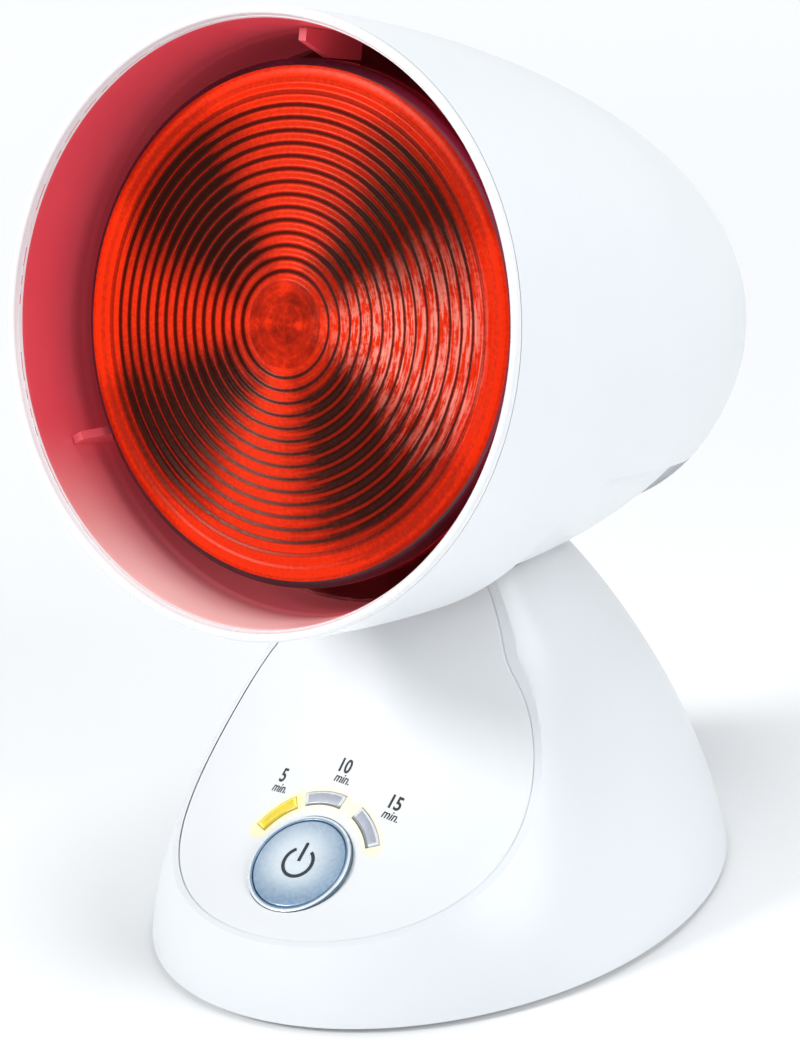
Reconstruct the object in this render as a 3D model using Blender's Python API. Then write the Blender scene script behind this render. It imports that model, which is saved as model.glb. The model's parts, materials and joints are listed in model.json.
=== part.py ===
"""Infrared heat therapy lamp: a tilting round shade with a ribbed reflector bulb on a domed base.

Metres, +Z up, the lamp faces -Y and stands on z = 0. The base is built round the vertical line
through the tilt pivot. The head is built round the axis of its shade, in three directions:
x sideways, y down from the axis and z back from the rim, and hangs on an empty at the pivot.
"""

import math

import bmesh
import bpy
from mathutils import Matrix, Vector

# Clearances and tessellation
FIT = 0.0003
WALL_GAP = 0.0006
RUNNING = 0.00006
OVERRUN = 0.004
ROUND = 48
MIDDLE_ROUND = 32
SMALL_ROUND = 20
TINY_ROUND = 12
SMOOTH_ANGLE = math.radians(28)

# Tilt pivot
TILT = math.radians(16.5)
PIVOT_HEIGHT = 0.100
PIVOT_BELOW_AXIS = 0.041
PIVOT_BEHIND_RIM = 0.084
AXLE_RADIUS = 0.003
AXLE_HEAD = 0.005
AXLE_HEAD_THICK = 0.0016

# Bulb
BULB_RADIUS = 0.0605
LENS_EDGE = 0.0041
LENS_RADIUS = BULB_RADIUS - LENS_EDGE
LENS_FRONT = 0.0115
LENS_RISE = 0.003
LENS_SHOULDER = 0.002
LENS_WALL = 0.003
BULB_SEAM = 0.0190
BULB_WAIST = 0.0255
WAIST_DRAW_IN = 0.0025
BULB_WAIST_RADIUS = BULB_RADIUS - WAIST_DRAW_IN
BOWL_END = 0.078
BOWL_NECK = 0.022
BOWL_STEPS = 6
BULB_NECK_END = 0.1135
BULB_NECK_RADIUS = 0.0165
GLASS_WALL = 0.0018
CAP_RADIUS = 0.0131
CAP_LENGTH = 0.026
CAP_TURNS = 5
THREAD_DEPTH = 0.0006
CONTACT_RADIUS = 0.0042
CONTACT_LENGTH = 0.003

# Shade
RIM_ROUND_BULB = 0.0111
RIM_RADIUS = BULB_RADIUS + RIM_ROUND_BULB
SHELL_LENGTH = 0.182
SHELL_WALL = 0.002
SHELL_END_WALL = 0.0024
TAPER_SHARE = 1.8
FULLNESS_SHARE = 0.44
WINDOW_DEPTH = 0.030
WINDOW_FRONT = 0.044
WINDOW_END = 0.138
WINDOW_CORNER = 0.022
WINDOW_END_CORNER = 0.003
SHELL_RINGS = 15
INNER_RINGS = 10
COVER_RINGS = 8

# Rim and inner shade
LIP_THICK = 0.0015
LIP_WIDTH = 0.0021
LIP_INNER = RIM_RADIUS - LIP_WIDTH
LINER_WALL = 0.0013
LINER_STEP = 0.008
LINER_LENGTH = 0.040
LINER_RINGS = 3
RIB_THICK = 0.002
RIB_FRONT = 0.010
RIB_LENGTH = 0.022
RIB_COUNT = 3

# Cover under the shade, with the slot for the neck
COVER_WALL = 0.0016
COVER_FRONT = 0.043
COVER_END = 0.147
COVER_OVERLAP = 0.008
COVER_SLOT_ROOM = 0.0099
COVER_SLOT_FRONT = 0.055
COVER_SLOT_END = 0.136

# Lampholder and its frame
HOLDER_RADIUS = 0.0215
HOLDER_FRONT = 0.1145
HOLDER_BACK = 0.1497
HOLDER_FLOOR = 0.0022
HOLDER_FLANGE = 0.0014
SLEEVE_WALL = 0.0004
SLEEVE_LENGTH = 0.026
SPRING_LEAF = 0.0006
FRAME_THICK = 0.002
FRAME_DISC = 0.0335
WEB_DEPTH = 0.0265
WEB_FRONT = 0.102
WEB_TAPER_START = 0.132
WEB_TAPER_END = 0.146
WEB_TAIL_HALF = 0.020
CHEEK_INSIDE = 0.0251
COVER_SLOT_HALF = CHEEK_INSIDE + FRAME_THICK + COVER_SLOT_ROOM
CHEEK_REACH = 0.011
CHEEK_BACK = 0.128
CHEEK_START = math.radians(125)
CHEEK_SWEEP = math.radians(230)
FRAME_SCREW_CIRCLE = 0.0285
FRAME_SCREW_COUNT = 3
FRAME_POST_RADIUS = 0.0034
CUTOUT_LENGTH = 0.015
CUTOUT_HALF_WIDTH = 0.0055
CUTOUT_THICK = 0.0036

# Heat shield behind the bulb's rim
SHIELD_SLOPE_LENGTH = 0.009
SHIELD_REACH = 0.0095
SHIELD_HOLE = BULB_RADIUS - SHIELD_REACH
SHIELD_FLANGE = 0.0022
SHIELD_THICK = 0.0006

# Screws
SCREW_RADIUS = 0.0014
SCREW_HEAD = 0.0028
SCREW_HEAD_THICK = 0.0012
SCREW_REACH = 0.009
HOLDER_SCREW_CIRCLE = 0.0175
HOLDER_SCREW_COUNT = 2
SMALL_SCREW_RADIUS = 0.0010
SMALL_SCREW_HEAD = 0.0019
SMALL_SCREW_REACH = 0.0045

# Base dome
BASE_HALF_WIDTH = 0.0675
BASE_FRONT = 0.079
BASE_REAR = 0.083
BASE_CENTRE_AHEAD = 0.018
CENTRE_LEAN_SHARE = 0.08
DOME_ABOVE_PIVOT = 0.015
DOME_HEIGHT = PIVOT_HEIGHT + DOME_ABOVE_PIVOT
FRONT_BELOW_PIVOT = 0.020
FRONT_HEIGHT = PIVOT_HEIGHT - FRONT_BELOW_PIVOT
REAR_RISE = 0.003
REAR_HEIGHT = DOME_HEIGHT + REAR_RISE
NECK_APEX = DOME_HEIGHT + REAR_RISE
NECK_FRONT_SHARE = 0.5
WIDTH_FALL_SHARE = 1.3
WIDTH_FULLNESS_SHARE = 0.76
FRONT_FALL_SHARE = 2.3
REAR_FALL_SHARE = 1.65
REAR_FULLNESS_SHARE = 0.85
BASE_WALL = 0.0026
SHELL_FOOT = 0.0015
HOLLOW_BELOW_PIVOT = 0.015
HOLLOW_TOP = PIVOT_HEIGHT - HOLLOW_BELOW_PIVOT
SECTION_SHARES = (0, 0.03, 0.08, 0.15, 0.23, 0.32, 0.41, 0.5, 0.59, 0.68, 0.77, 0.85, 0.92, 0.965,
                  0.985)
NECK_TOP_RADIUS = 0.0105
NECK_SLOPE = math.radians(38.7)
NECK_FALL_SHARE = 0.65
NECK_HALF_WIDTH = 0.0224
BOSS_HALF_WIDTH = 0.023
BOSS_RADIUS = 0.010
SHOULDER_DROP = 0.002
NECK_SHOULDER = PIVOT_HEIGHT - BOSS_RADIUS - SHOULDER_DROP
WIRE_DUCT_RADIUS = 0.003
WIRE_DUCT_BACK = 0.0088

# Front panel: hollow from top to bottom and bowed from side to side
PANEL_RADIUS = 0.143
PANEL_BOW_RADIUS = 0.074
PANEL_SLOPE = math.radians(33)
PANEL_ROLL_START = math.radians(-95)
PANEL_THICK = 0.0021
PANEL_BELOW_PIVOT = 0.0125
PANEL_TOP = PIVOT_HEIGHT - PANEL_BELOW_PIVOT
PANEL_EDGE = 0.0011
BUTTON_AHEAD = 0.0726
BUTTON_HEIGHT = 0.0302
PANEL_STEPS = 18
BOW_STEPS = 12

# Button and its ring
BUTTON_RADIUS = 0.0120
BUTTON_CROWN = 0.0013
BUTTON_EDGE = 0.0005
CROWN_HALF_SHARE = 0.9
EDGE_RISE_SHARE = 1.6
BUTTON_SKIRT = 0.0034
BUTTON_FLANGE = 0.0129
BUTTON_FLANGE_THICK = 0.0010
BUTTON_STEM_RADIUS = 0.003
BUTTON_STEM_END = 0.0052
BUTTON_GAP = 0.0002
RING_WALL = 0.0004
RING_OUTSIDE = 0.0134
RING_TOP = 0.0008
RING_FLOOR = 0.0008
RING_DEPTH = 0.0023

# Timer lights
GUIDE_INNER = 0.0166
GUIDE_OUTER = 0.0200
GUIDE_DEPTH = 0.0070
GUIDE_PROUD = 0.00025
GUIDE_GAP = 0.00015
GUIDE_HALF_ANGLE = math.radians(16.5)
GUIDE_ANGLES = {"5": math.radians(137.5), "10": math.radians(96), "15": math.radians(47)}
LED_RADIUS = 0.0015
LED_HEIGHT = 0.0024

# Timer board behind the panel
BOARD_DEPTH = 0.0115
BOARD_THICK = 0.0016
BOARD_HALF_WIDTH = 0.027
BOARD_LOW = 0.014
BOARD_HIGH = 0.028
BOARD_POST_RADIUS = 0.0028
BOARD_POST_INSET = 0.004
SWITCH_HALF = 0.006
SWITCH_HEIGHT = 0.0042
PLUNGER_RADIUS = 0.0034
PLUNGER_LENGTH = 0.0036
SWITCH_FLOOR = 0.0008

# Base plate, feet and ballast
PLATE_BOTTOM = 0.0012
PLATE_THICK = 0.0024
PLATE_GAP = 0.0008
FOOT_RADIUS = 0.006
FOOT_THICK = 0.0022
FOOT_FRONT_SIDE = 0.042
FOOT_FRONT = 0.062
FOOT_BACK_SIDE = 0.038
FOOT_BACK = 0.035
POST_RADIUS = 0.0042
POST_SIDE = 0.050
POST_FRONT = 0.024
POST_BACK = 0.012
BALLAST_HALF_WIDTH = 0.026
BALLAST_LENGTH = 0.050
BALLAST_BACK = 0.040
BALLAST_THICK = 0.007

# Power board and what is on it
POWER_HALF_WIDTH = 0.034
POWER_LENGTH = 0.046
POWER_BACK = 0.035
POWER_HEIGHT = 0.0135
STANDOFF_RADIUS = 0.0026
STANDOFF_INSET = 0.0038
RELAY_SIZE = (0.0155, 0.019, 0.0155)
CAPACITOR_SIZE = (0.018, 0.008, 0.014)
TRANSFORMER_SIZE = (0.022, 0.020, 0.018)
TERMINAL_SIZE = (0.015, 0.0085, 0.011)
FUSE_RADIUS = 0.0027
FUSE_LENGTH = 0.018
PART_SPACING = 0.002

# Cord inlet
GLAND_HEIGHT = 0.013
GLAND_RADIUS = 0.0045
GLAND_FLANGE = 0.0062
GLAND_BORE = 0.0030
GLAND_THICK = 0.0018
GLAND_LENGTH = 0.011
GLAND_SLANT_SHARE = 0.6

WHITE = ("white_plastic", (0.83, 0.85, 0.87), 0.32, 0.0)
PANEL_WHITE = ("panel_white", (0.87, 0.89, 0.90), 0.28, 0.0)
INNER_WHITE = ("inner_white", (0.85, 0.80, 0.80), 0.40, 0.0)
RED_GLASS = ("red_glass", (0.62, 0.07, 0.02), 0.12, 0.0)
SILVERED = ("silvered_glass", (0.70, 0.66, 0.66), 0.15, 0.9)
BRASS = ("brass", (0.72, 0.56, 0.28), 0.30, 1.0)
CERAMIC = ("ceramic", (0.82, 0.80, 0.76), 0.45, 0.0)
STEEL = ("zinc_steel", (0.60, 0.61, 0.63), 0.35, 1.0)
ALUMINIUM = ("aluminium", (0.76, 0.77, 0.78), 0.30, 1.0)
BUTTON_BLUE = ("button_blue", (0.38, 0.50, 0.62), 0.30, 0.1)
CHROME = ("ring_chrome", (0.72, 0.74, 0.76), 0.15, 1.0)
LIT_YELLOW = ("lit_yellow", (0.95, 0.78, 0.10), 0.30, 0.0)
CLEAR_GREY = ("clear_grey", (0.55, 0.57, 0.62), 0.25, 0.0)
BOARD_GREEN = ("board_green", (0.05, 0.22, 0.12), 0.50, 0.0)
DARK_PLASTIC = ("dark_plastic", (0.06, 0.06, 0.07), 0.55, 0.0)
RUBBER = ("rubber", (0.04, 0.04, 0.04), 0.85, 0.0)
RELAY_BLUE = ("relay_blue", (0.08, 0.20, 0.45), 0.45, 0.0)
CAST_IRON = ("cast_iron", (0.18, 0.18, 0.19), 0.70, 0.8)
NYLON = ("nylon", (0.70, 0.69, 0.64), 0.55, 0.0)


# Helpers


def clear_scene():
    for old in list(bpy.data.objects):
        bpy.data.objects.remove(old, do_unlink=True)


def material(spec):
    name, colour, roughness, metallic = spec
    found = bpy.data.materials.get(name)
    if found:
        return found
    made = bpy.data.materials.new(name)
    made.use_nodes = True
    shader = made.node_tree.nodes["Principled BSDF"]
    shader.inputs["Base Color"].default_value = (*colour, 1)
    shader.inputs["Roughness"].default_value = roughness
    shader.inputs["Metallic"].default_value = metallic
    made.diffuse_color = (*colour, 1)
    return made


def empty(name, location, rotation_x):
    made = bpy.data.objects.new(name, None)
    made.location = location
    made.rotation_euler.x = rotation_x
    bpy.context.scene.collection.objects.link(made)
    return made


def add(name, shape, finish, parent, place=(0, 0, 0), turn=(0, 0, 0)):
    """Makes an object of a bmesh and frees it."""
    bmesh.ops.recalc_face_normals(shape, faces=shape.faces)
    mesh = bpy.data.meshes.new(name)
    shape.to_mesh(mesh)
    shape.free()
    made = bpy.data.objects.new(name, mesh)
    made.parent = parent
    made.location = place
    made.rotation_euler = turn
    bpy.context.scene.collection.objects.link(made)
    if finish is not None:
        mesh.materials.append(material(finish))
    mesh.shade_smooth()
    mesh.set_sharp_from_angle(angle=SMOOTH_ANGLE)
    return made


def cutter(name, shape, parent, place=(0, 0, 0), turn=(0, 0, 0)):
    made = add(name, shape, None, parent, place, turn)
    made.hide_render = True
    made.display_type = "WIRE"
    return made


def combine(target, operation, *others):
    for other in others:
        modifier = target.modifiers.new(f"{operation.lower()}_{other.name}", "BOOLEAN")
        modifier.operation = operation
        modifier.solver = "EXACT"
        modifier.object = other


def cut(target, *others):
    combine(target, "DIFFERENCE", *others)


def join(target, *others):
    combine(target, "UNION", *others)


def turned(profile, segments):
    """A body turned round Z from (radius, z) points; a flat end is one face, a pointed one meets a vertex.

    Small ones stand half a step round, so that no corner of theirs lies in the lamp's middle plane.
    """
    shape = bmesh.new()
    shift = 0.5 if segments < ROUND else 0
    rings = []
    for radius, height in profile:
        if radius == 0:
            rings.append([height])
            continue
        ring = []
        for step in range(segments):
            angle = 2 * math.pi * (step + shift) / segments
            ring.append(shape.verts.new((radius * math.cos(angle), radius * math.sin(angle), height)))
        rings.append(ring)
    pairs = list(zip(rings, rings[1:]))
    if len(rings[0]) > 1:
        pairs.append((rings[-1], rings[0]))
    for first, second in pairs:
        if len(first) == 1:
            first, second = second, first
        if len(second) == 1 and math.isclose(second[0], first[0].co.z, rel_tol=0.0001):
            shape.faces.new(first)
            continue
        if len(second) == 1:
            second = [shape.verts.new((0, 0, second[0]))]
        for step in range(segments):
            after = (step + 1) % segments
            corners = [first[step], first[after], second[after % len(second)], second[step % len(second)]]
            shape.faces.new(list(dict.fromkeys(corners)))
    return shape


def prism(outline, low, high):
    """An outline in x and y drawn up from low to high."""
    shape = bmesh.new()
    floor = [shape.verts.new((x, y, low)) for x, y in outline]
    roof = [shape.verts.new((x, y, high)) for x, y in outline]
    shape.faces.new(floor)
    shape.faces.new(roof)
    for step in range(len(outline)):
        after = (step + 1) % len(outline)
        shape.faces.new((floor[step], floor[after], roof[after], roof[step]))
    return shape


def side_prism(outline, half_width):
    """An outline in y and z, drawn out sideways to both sides."""
    shape = prism(outline, -half_width, half_width)
    turn = Matrix(((0, 0, 1, 0), (1, 0, 0, 0), (0, 1, 0, 0), (0, 0, 0, 1)))
    bmesh.ops.transform(shape, matrix=turn, verts=shape.verts)
    return shape


def down_prism(outline, low, high):
    """An outline in x and z, drawn along y from low to high."""
    shape = prism(outline, low, high)
    swap = Matrix(((1, 0, 0, 0), (0, 0, 1, 0), (0, 1, 0, 0), (0, 0, 0, 1)))
    bmesh.ops.transform(shape, matrix=swap, verts=shape.verts)
    return shape


def block(low, high):
    (x0, y0, z0), (x1, y1, z1) = low, high
    return prism(((x0, y0), (x1, y0), (x1, y1), (x0, y1)), z0, z1)


def rod(radius, low, high, segments=SMALL_ROUND):
    return turned(((0, low), (radius, low), (radius, high), (0, high)), segments)


def arc(centre, radius, start, end, steps):
    points = []
    for step in range(steps + 1):
        angle = start + (end - start) * step / steps
        points.append((centre[0] + radius * math.cos(angle), centre[1] + radius * math.sin(angle)))
    return points


def several(shapes):
    """Separate bodies as one mesh, for a cutter."""
    whole = shapes[0]
    for extra in shapes[1:]:
        mesh = bpy.data.meshes.new("extra")
        extra.to_mesh(mesh)
        extra.free()
        whole.from_mesh(mesh)
        bpy.data.meshes.remove(mesh)
    return whole


def moved(shape, x=0.0, y=0.0, z=0.0):
    bmesh.ops.translate(shape, vec=Vector((x, y, z)), verts=shape.verts)
    return shape


def sideways(shape):
    """Turns a body made round Z so that it lies round X."""
    bmesh.ops.rotate(shape, matrix=Matrix.Rotation(math.pi / 2, 3, "Y"), verts=shape.verts)
    return shape


def screw_shape(head_radius, head_thick, shank_radius, reach):
    """A screw whose head stands on z = 0 and whose shank goes up."""
    bore = shank_radius / 2
    profile = ((0, bore - head_thick), (bore, bore - head_thick), (bore, -head_thick))
    profile += ((head_radius, -head_thick), (head_radius, 0), (shank_radius, 0), (shank_radius, reach), (0, reach))
    return turned(profile, TINY_ROUND)


# Frames of reference


def ogive(radius, length, back):
    """Radius of a shade-shaped body at a distance back from its mouth."""
    share = min(max(back / length, 0), 1)
    return radius * (1 - share**TAPER_SHARE) ** FULLNESS_SHARE


def shell_inside(back):
    return ogive(RIM_RADIUS - SHELL_WALL, SHELL_LENGTH - SHELL_END_WALL, back)


def ogive_profile(radius, length, start, end, rings):
    """Points along the shade shape, closer together where it closes."""
    first = math.asin(start / length)
    last = math.asin(end / length)
    points = []
    for step in range(rings + 1):
        back = length * math.sin(first + (last - first) * step / rings)
        points.append((ogive(radius, length, back), back))
    return points


def pivot_ahead():
    """How far the pivot stands from the middle of the lamp's length, which is the origin."""
    front = BASE_CENTRE_AHEAD + BASE_FRONT
    backs = []
    for radius, back in ogive_profile(RIM_RADIUS, SHELL_LENGTH, 0, SHELL_LENGTH, SHELL_RINGS):
        backs.append((back - PIVOT_BEHIND_RIM) * math.cos(TILT)
                     + (radius + PIVOT_BELOW_AXIS) * math.sin(TILT))
    return (front - max(backs)) / 2


def half_width(height):
    return BASE_HALF_WIDTH * (1 - (height / DOME_HEIGHT) ** WIDTH_FALL_SHARE) ** WIDTH_FULLNESS_SHARE


def front_depth(height):
    belly = BASE_FRONT * (1 - (height / FRONT_HEIGHT) ** FRONT_FALL_SHARE)
    return max(belly, (NECK_APEX - height) * NECK_FRONT_SHARE)


def rear_depth(height):
    return BASE_REAR * (1 - (height / REAR_HEIGHT) ** REAR_FALL_SHARE) ** REAR_FULLNESS_SHARE


def centre_back(height):
    return CENTRE_LEAN_SHARE * height - BASE_CENTRE_AHEAD


def section(height, inset):
    """The dome's outline at a height, moved in by an inset."""
    points = []
    level = max(height, 0)
    for step in range(ROUND):
        angle = 2 * math.pi * step / ROUND
        depth = front_depth(level) if math.sin(angle) < 0 else rear_depth(level)
        x = (half_width(level) - inset) * math.cos(angle)
        y = centre_back(level) + (depth - inset) * math.sin(angle)
        points.append((x, y))
    return points


def dome(inset, low, high, every=1):
    """The dome between two heights, closed flat at both, with every level of it or every second one."""
    heights = [low]
    for share in SECTION_SHARES[::every]:
        height = share * DOME_HEIGHT
        if low < height < high:
            heights.append(height)
    heights.append(high)
    shape = bmesh.new()
    rings = []
    for height in heights:
        rings.append([shape.verts.new((x, y, height)) for x, y in section(height, inset)])
    shape.faces.new(rings[0])
    shape.faces.new(rings[-1])
    for lower, upper in zip(rings, rings[1:]):
        for step in range(ROUND):
            after = (step + 1) % ROUND
            shape.faces.new((lower[step], lower[after], upper[after]))
            shape.faces.new((lower[step], upper[after], upper[step]))
    return shape


def panel_roll(extra):
    """What lies in front of the panel's face, as a body that runs right across the base."""
    centre = (-BUTTON_AHEAD - PANEL_RADIUS * math.sin(PANEL_SLOPE),
              BUTTON_HEIGHT + PANEL_RADIUS * math.cos(PANEL_SLOPE))
    outline = arc(centre, PANEL_RADIUS + extra, PANEL_ROLL_START, 0, PANEL_STEPS)
    outline += [(centre[0], outline[-1][1]), (outline[0][0], centre[1])]
    reach = BASE_HALF_WIDTH + OVERRUN
    shape = bmesh.new()
    rings = []
    for step in range(BOW_STEPS + 1):
        x = reach * (2 * step / BOW_STEPS - 1)
        bow = x * x / (2 * PANEL_BOW_RADIUS)
        rings.append([shape.verts.new((x, y + bow, z)) for y, z in outline])
    shape.faces.new(rings[0])
    shape.faces.new(rings[-1])
    for first, second in zip(rings, rings[1:]):
        for number in range(len(outline)):
            after = (number + 1) % len(outline)
            shape.faces.new((first[number], first[after], second[after], second[number]))
    return shape


def panel_sector(inner, outer, centre_angle, half_angle, low, high):
    """A piece of a ring round the button, in the panel's own directions."""
    outline = arc((0, 0), outer, centre_angle - half_angle, centre_angle + half_angle, 6)
    outline += arc((0, 0), inner, centre_angle + half_angle, centre_angle - half_angle, 6)
    return prism(outline, low, high)


# Head


def head_shell(head, place):
    outer = ogive_profile(RIM_RADIUS, SHELL_LENGTH, FIT, SHELL_LENGTH, SHELL_RINGS)
    inner = ogive_profile(RIM_RADIUS - SHELL_WALL, SHELL_LENGTH - SHELL_END_WALL, FIT,
                          SHELL_LENGTH - SHELL_END_WALL, INNER_RINGS)
    shell = add("head_shell", turned(outer[::-1] + inner, ROUND), WHITE, head, place)
    posts = []
    post_foot = HOLDER_BACK + FIT + FRAME_THICK + FIT
    for x, y in frame_screw_places():
        posts.append(moved(rod(FRAME_POST_RADIUS, post_foot, SHELL_LENGTH), x, y))
    posts = cutter("shell_posts", several(posts), head, place)
    core = ogive_profile(RIM_RADIUS - SHELL_WALL / 2, SHELL_LENGTH - SHELL_END_WALL / 2, 0,
                         SHELL_LENGTH - SHELL_END_WALL / 2, SHELL_RINGS)
    core = cutter("shell_core", turned([(0, 0)] + core, ROUND), head, place)
    combine(posts, "INTERSECT", core)
    join(shell, posts)
    pilots = []
    pilot_end = HOLDER_BACK + SCREW_REACH + FIT
    for x, y in frame_screw_places():
        pilots.append(moved(rod(SCREW_RADIUS + RUNNING, HOLDER_BACK, pilot_end, TINY_ROUND), x, y))
    cut(shell, cutter("shell_pilots", several(pilots), head, place))
    cut(shell, cutter("shell_window", side_window(), head, place))


def side_window():
    """The cut-away under the shade: flat along the axis, rounded down at the front."""
    front = arc((WINDOW_DEPTH + WINDOW_CORNER, WINDOW_FRONT + WINDOW_CORNER), WINDOW_CORNER,
                -math.pi / 2, -math.pi, 8)
    back = arc((WINDOW_DEPTH + WINDOW_END_CORNER, WINDOW_END - WINDOW_END_CORNER), WINDOW_END_CORNER,
               math.pi, math.pi / 2, 3)
    deep = RIM_RADIUS + OVERRUN
    return side_prism([(deep, WINDOW_FRONT)] + front + back + [(deep, WINDOW_END)], RIM_RADIUS + OVERRUN)


def head_lower_cover(head, place):
    gap = SHELL_WALL + WALL_GAP
    outside = ogive_profile(RIM_RADIUS - gap, SHELL_LENGTH - gap, COVER_FRONT, COVER_END, COVER_RINGS)
    inside = ogive_profile(RIM_RADIUS - gap - COVER_WALL, SHELL_LENGTH - gap - COVER_WALL,
                           COVER_FRONT, COVER_END, COVER_RINGS)
    cover = add("head_lower_cover", turned(outside + inside[::-1], ROUND), WHITE, head, place)
    wide = RIM_RADIUS + OVERRUN
    top = WINDOW_DEPTH - COVER_OVERLAP
    cut(cover, cutter("cover_top", block((-wide, -wide, 0), (wide, top, SHELL_LENGTH)), head, place))
    slot = block((-COVER_SLOT_HALF, 0, COVER_SLOT_FRONT), (COVER_SLOT_HALF, wide, COVER_SLOT_END))
    cut(cover, cutter("cover_slot", slot, head, place))


def inner_shade(head, place):
    """The rim's lip, the inner wall and the three ribs that steady the bulb."""
    outside = []
    inside = []
    for step in range(LINER_RINGS + 1):
        back = FIT + (LINER_LENGTH - FIT) * step / LINER_RINGS
        outside.append((shell_inside(back) - WALL_GAP, back))
    for step in range(LINER_RINGS + 1):
        back = LINER_STEP + (LINER_LENGTH - LINER_STEP) * step / LINER_RINGS
        inside.append((shell_inside(back) - WALL_GAP - LINER_WALL, back))
    lip_edge = LIP_THICK / 3
    profile = [(LIP_INNER, lip_edge - LIP_THICK), (LIP_INNER + lip_edge, -LIP_THICK)]
    profile += [(RIM_RADIUS - lip_edge, -LIP_THICK), (RIM_RADIUS, lip_edge - LIP_THICK), (RIM_RADIUS, 0)]
    profile += [(outside[0][0], 0)] + outside[1:] + inside[::-1]
    liner = add("inner_shade", turned(profile, ROUND), INNER_WHITE, head, place)
    for number, (x, y) in enumerate(spread(1, RIB_COUNT, -math.pi / 2)):
        inner_end = BULB_RADIUS + FIT
        outer_end = shell_inside(RIB_FRONT + RIB_LENGTH) - WALL_GAP - LINER_WALL / 2
        fin = block((inner_end, -RIB_THICK / 2, RIB_FRONT),
                    (outer_end, RIB_THICK / 2, RIB_FRONT + RIB_LENGTH))
        fin = cutter(f"shade_rib_{number}", fin, head, place, (0, 0, math.atan2(y, x)))
        join(liner, fin)


def spread(radius, count, start):
    """Points evenly round the axis."""
    angles = [start + 2 * math.pi * step / count for step in range(count)]
    return [(radius * math.cos(angle), radius * math.sin(angle)) for angle in angles]


def frame_screw_places():
    return spread(FRAME_SCREW_CIRCLE, FRAME_SCREW_COUNT, -math.pi / 2)


def holder_screw_places():
    return spread(HOLDER_SCREW_CIRCLE, HOLDER_SCREW_COUNT, 0)


def heat_shield(head, place):
    """An aluminium cone that keeps the bulb's heat off the neck."""
    front = LINER_LENGTH + FIT
    rim = shell_inside(front) - WALL_GAP
    inside = rim - SHIELD_FLANGE
    back = front + SHIELD_SLOPE_LENGTH
    profile = ((rim, front), (inside, front), (SHIELD_HOLE, back), (SHIELD_HOLE, back + SHIELD_THICK),
               (inside, front + SHIELD_THICK * 2), (rim - SHIELD_THICK, front + SHIELD_THICK))
    add("heat_shield", turned(profile, MIDDLE_ROUND), ALUMINIUM, head, place)


def bowl_radius(back):
    """The reflector's parabola, from its waist to its neck."""
    share = (BOWL_END - back) / (BOWL_END - BULB_WAIST)
    return BOWL_NECK + (BULB_WAIST_RADIUS - BOWL_NECK) * math.sqrt(share)


def bulb(head, place):
    crown = []
    for step in range(5):
        radius = LENS_RADIUS * step / 4
        crown.append((radius, LENS_FRONT + LENS_RISE * (radius / LENS_RADIUS) ** 2))
    shoulder = LENS_FRONT + LENS_RISE + LENS_SHOULDER
    seam = BULB_SEAM - FIT / 2
    profile = crown + [(BULB_RADIUS - LENS_SHOULDER / 4, shoulder - LENS_SHOULDER / 2)]
    profile += [(BULB_RADIUS, shoulder)]
    profile += [(BULB_RADIUS, seam), (BULB_RADIUS - LENS_WALL, seam)]
    profile += [(LENS_RADIUS - LENS_WALL, shoulder), (0, LENS_FRONT + LENS_WALL)]
    add("bulb_lens", turned(profile, ROUND), RED_GLASS, head, place)

    outside = [(BULB_RADIUS, BULB_SEAM + FIT / 2), (BULB_RADIUS, (BULB_SEAM + BULB_WAIST) / 2)]
    inside = [(BULB_RADIUS - LENS_WALL, BULB_SEAM + FIT / 2)]
    for step in range(BOWL_STEPS + 1):
        back = BULB_WAIST + (BOWL_END - BULB_WAIST) * (1 - (1 - step / BOWL_STEPS) ** 2)
        outside.append((bowl_radius(back), back))
        inside.append((bowl_radius(back) - GLASS_WALL, back))
    outside += [(BULB_NECK_RADIUS, BULB_NECK_END), (0, BULB_NECK_END)]
    inside += [(BULB_NECK_RADIUS - GLASS_WALL, BULB_NECK_END - GLASS_WALL), (0, BULB_NECK_END - GLASS_WALL)]
    add("bulb_reflector", turned(outside[::-1] + inside, MIDDLE_ROUND), SILVERED, head, place)

    start = BULB_NECK_END + FIT
    profile = [(0, start), (CAP_RADIUS - THREAD_DEPTH, start)]
    pitch = CAP_LENGTH / (CAP_TURNS + 1)
    for turn in range(CAP_TURNS):
        profile.append((CAP_RADIUS - THREAD_DEPTH, start + pitch * (turn + 0.5)))
        profile.append((CAP_RADIUS, start + pitch * (turn + 1)))
    profile += [(CAP_RADIUS - THREAD_DEPTH, start + pitch * (CAP_TURNS + 0.5))]
    profile += [(CONTACT_RADIUS + FIT, start + CAP_LENGTH), (0, start + CAP_LENGTH)]
    add("bulb_screw_cap", turned(profile, SMALL_ROUND), BRASS, head, place)
    tip = start + CAP_LENGTH + FIT
    profile = ((0, tip), (CONTACT_RADIUS, tip), (CONTACT_RADIUS, tip + CONTACT_LENGTH / 2),
               (CONTACT_RADIUS / 2, tip + CONTACT_LENGTH), (0, tip + CONTACT_LENGTH))
    add("bulb_contact", turned(profile, TINY_ROUND), BRASS, head, place)


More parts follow.
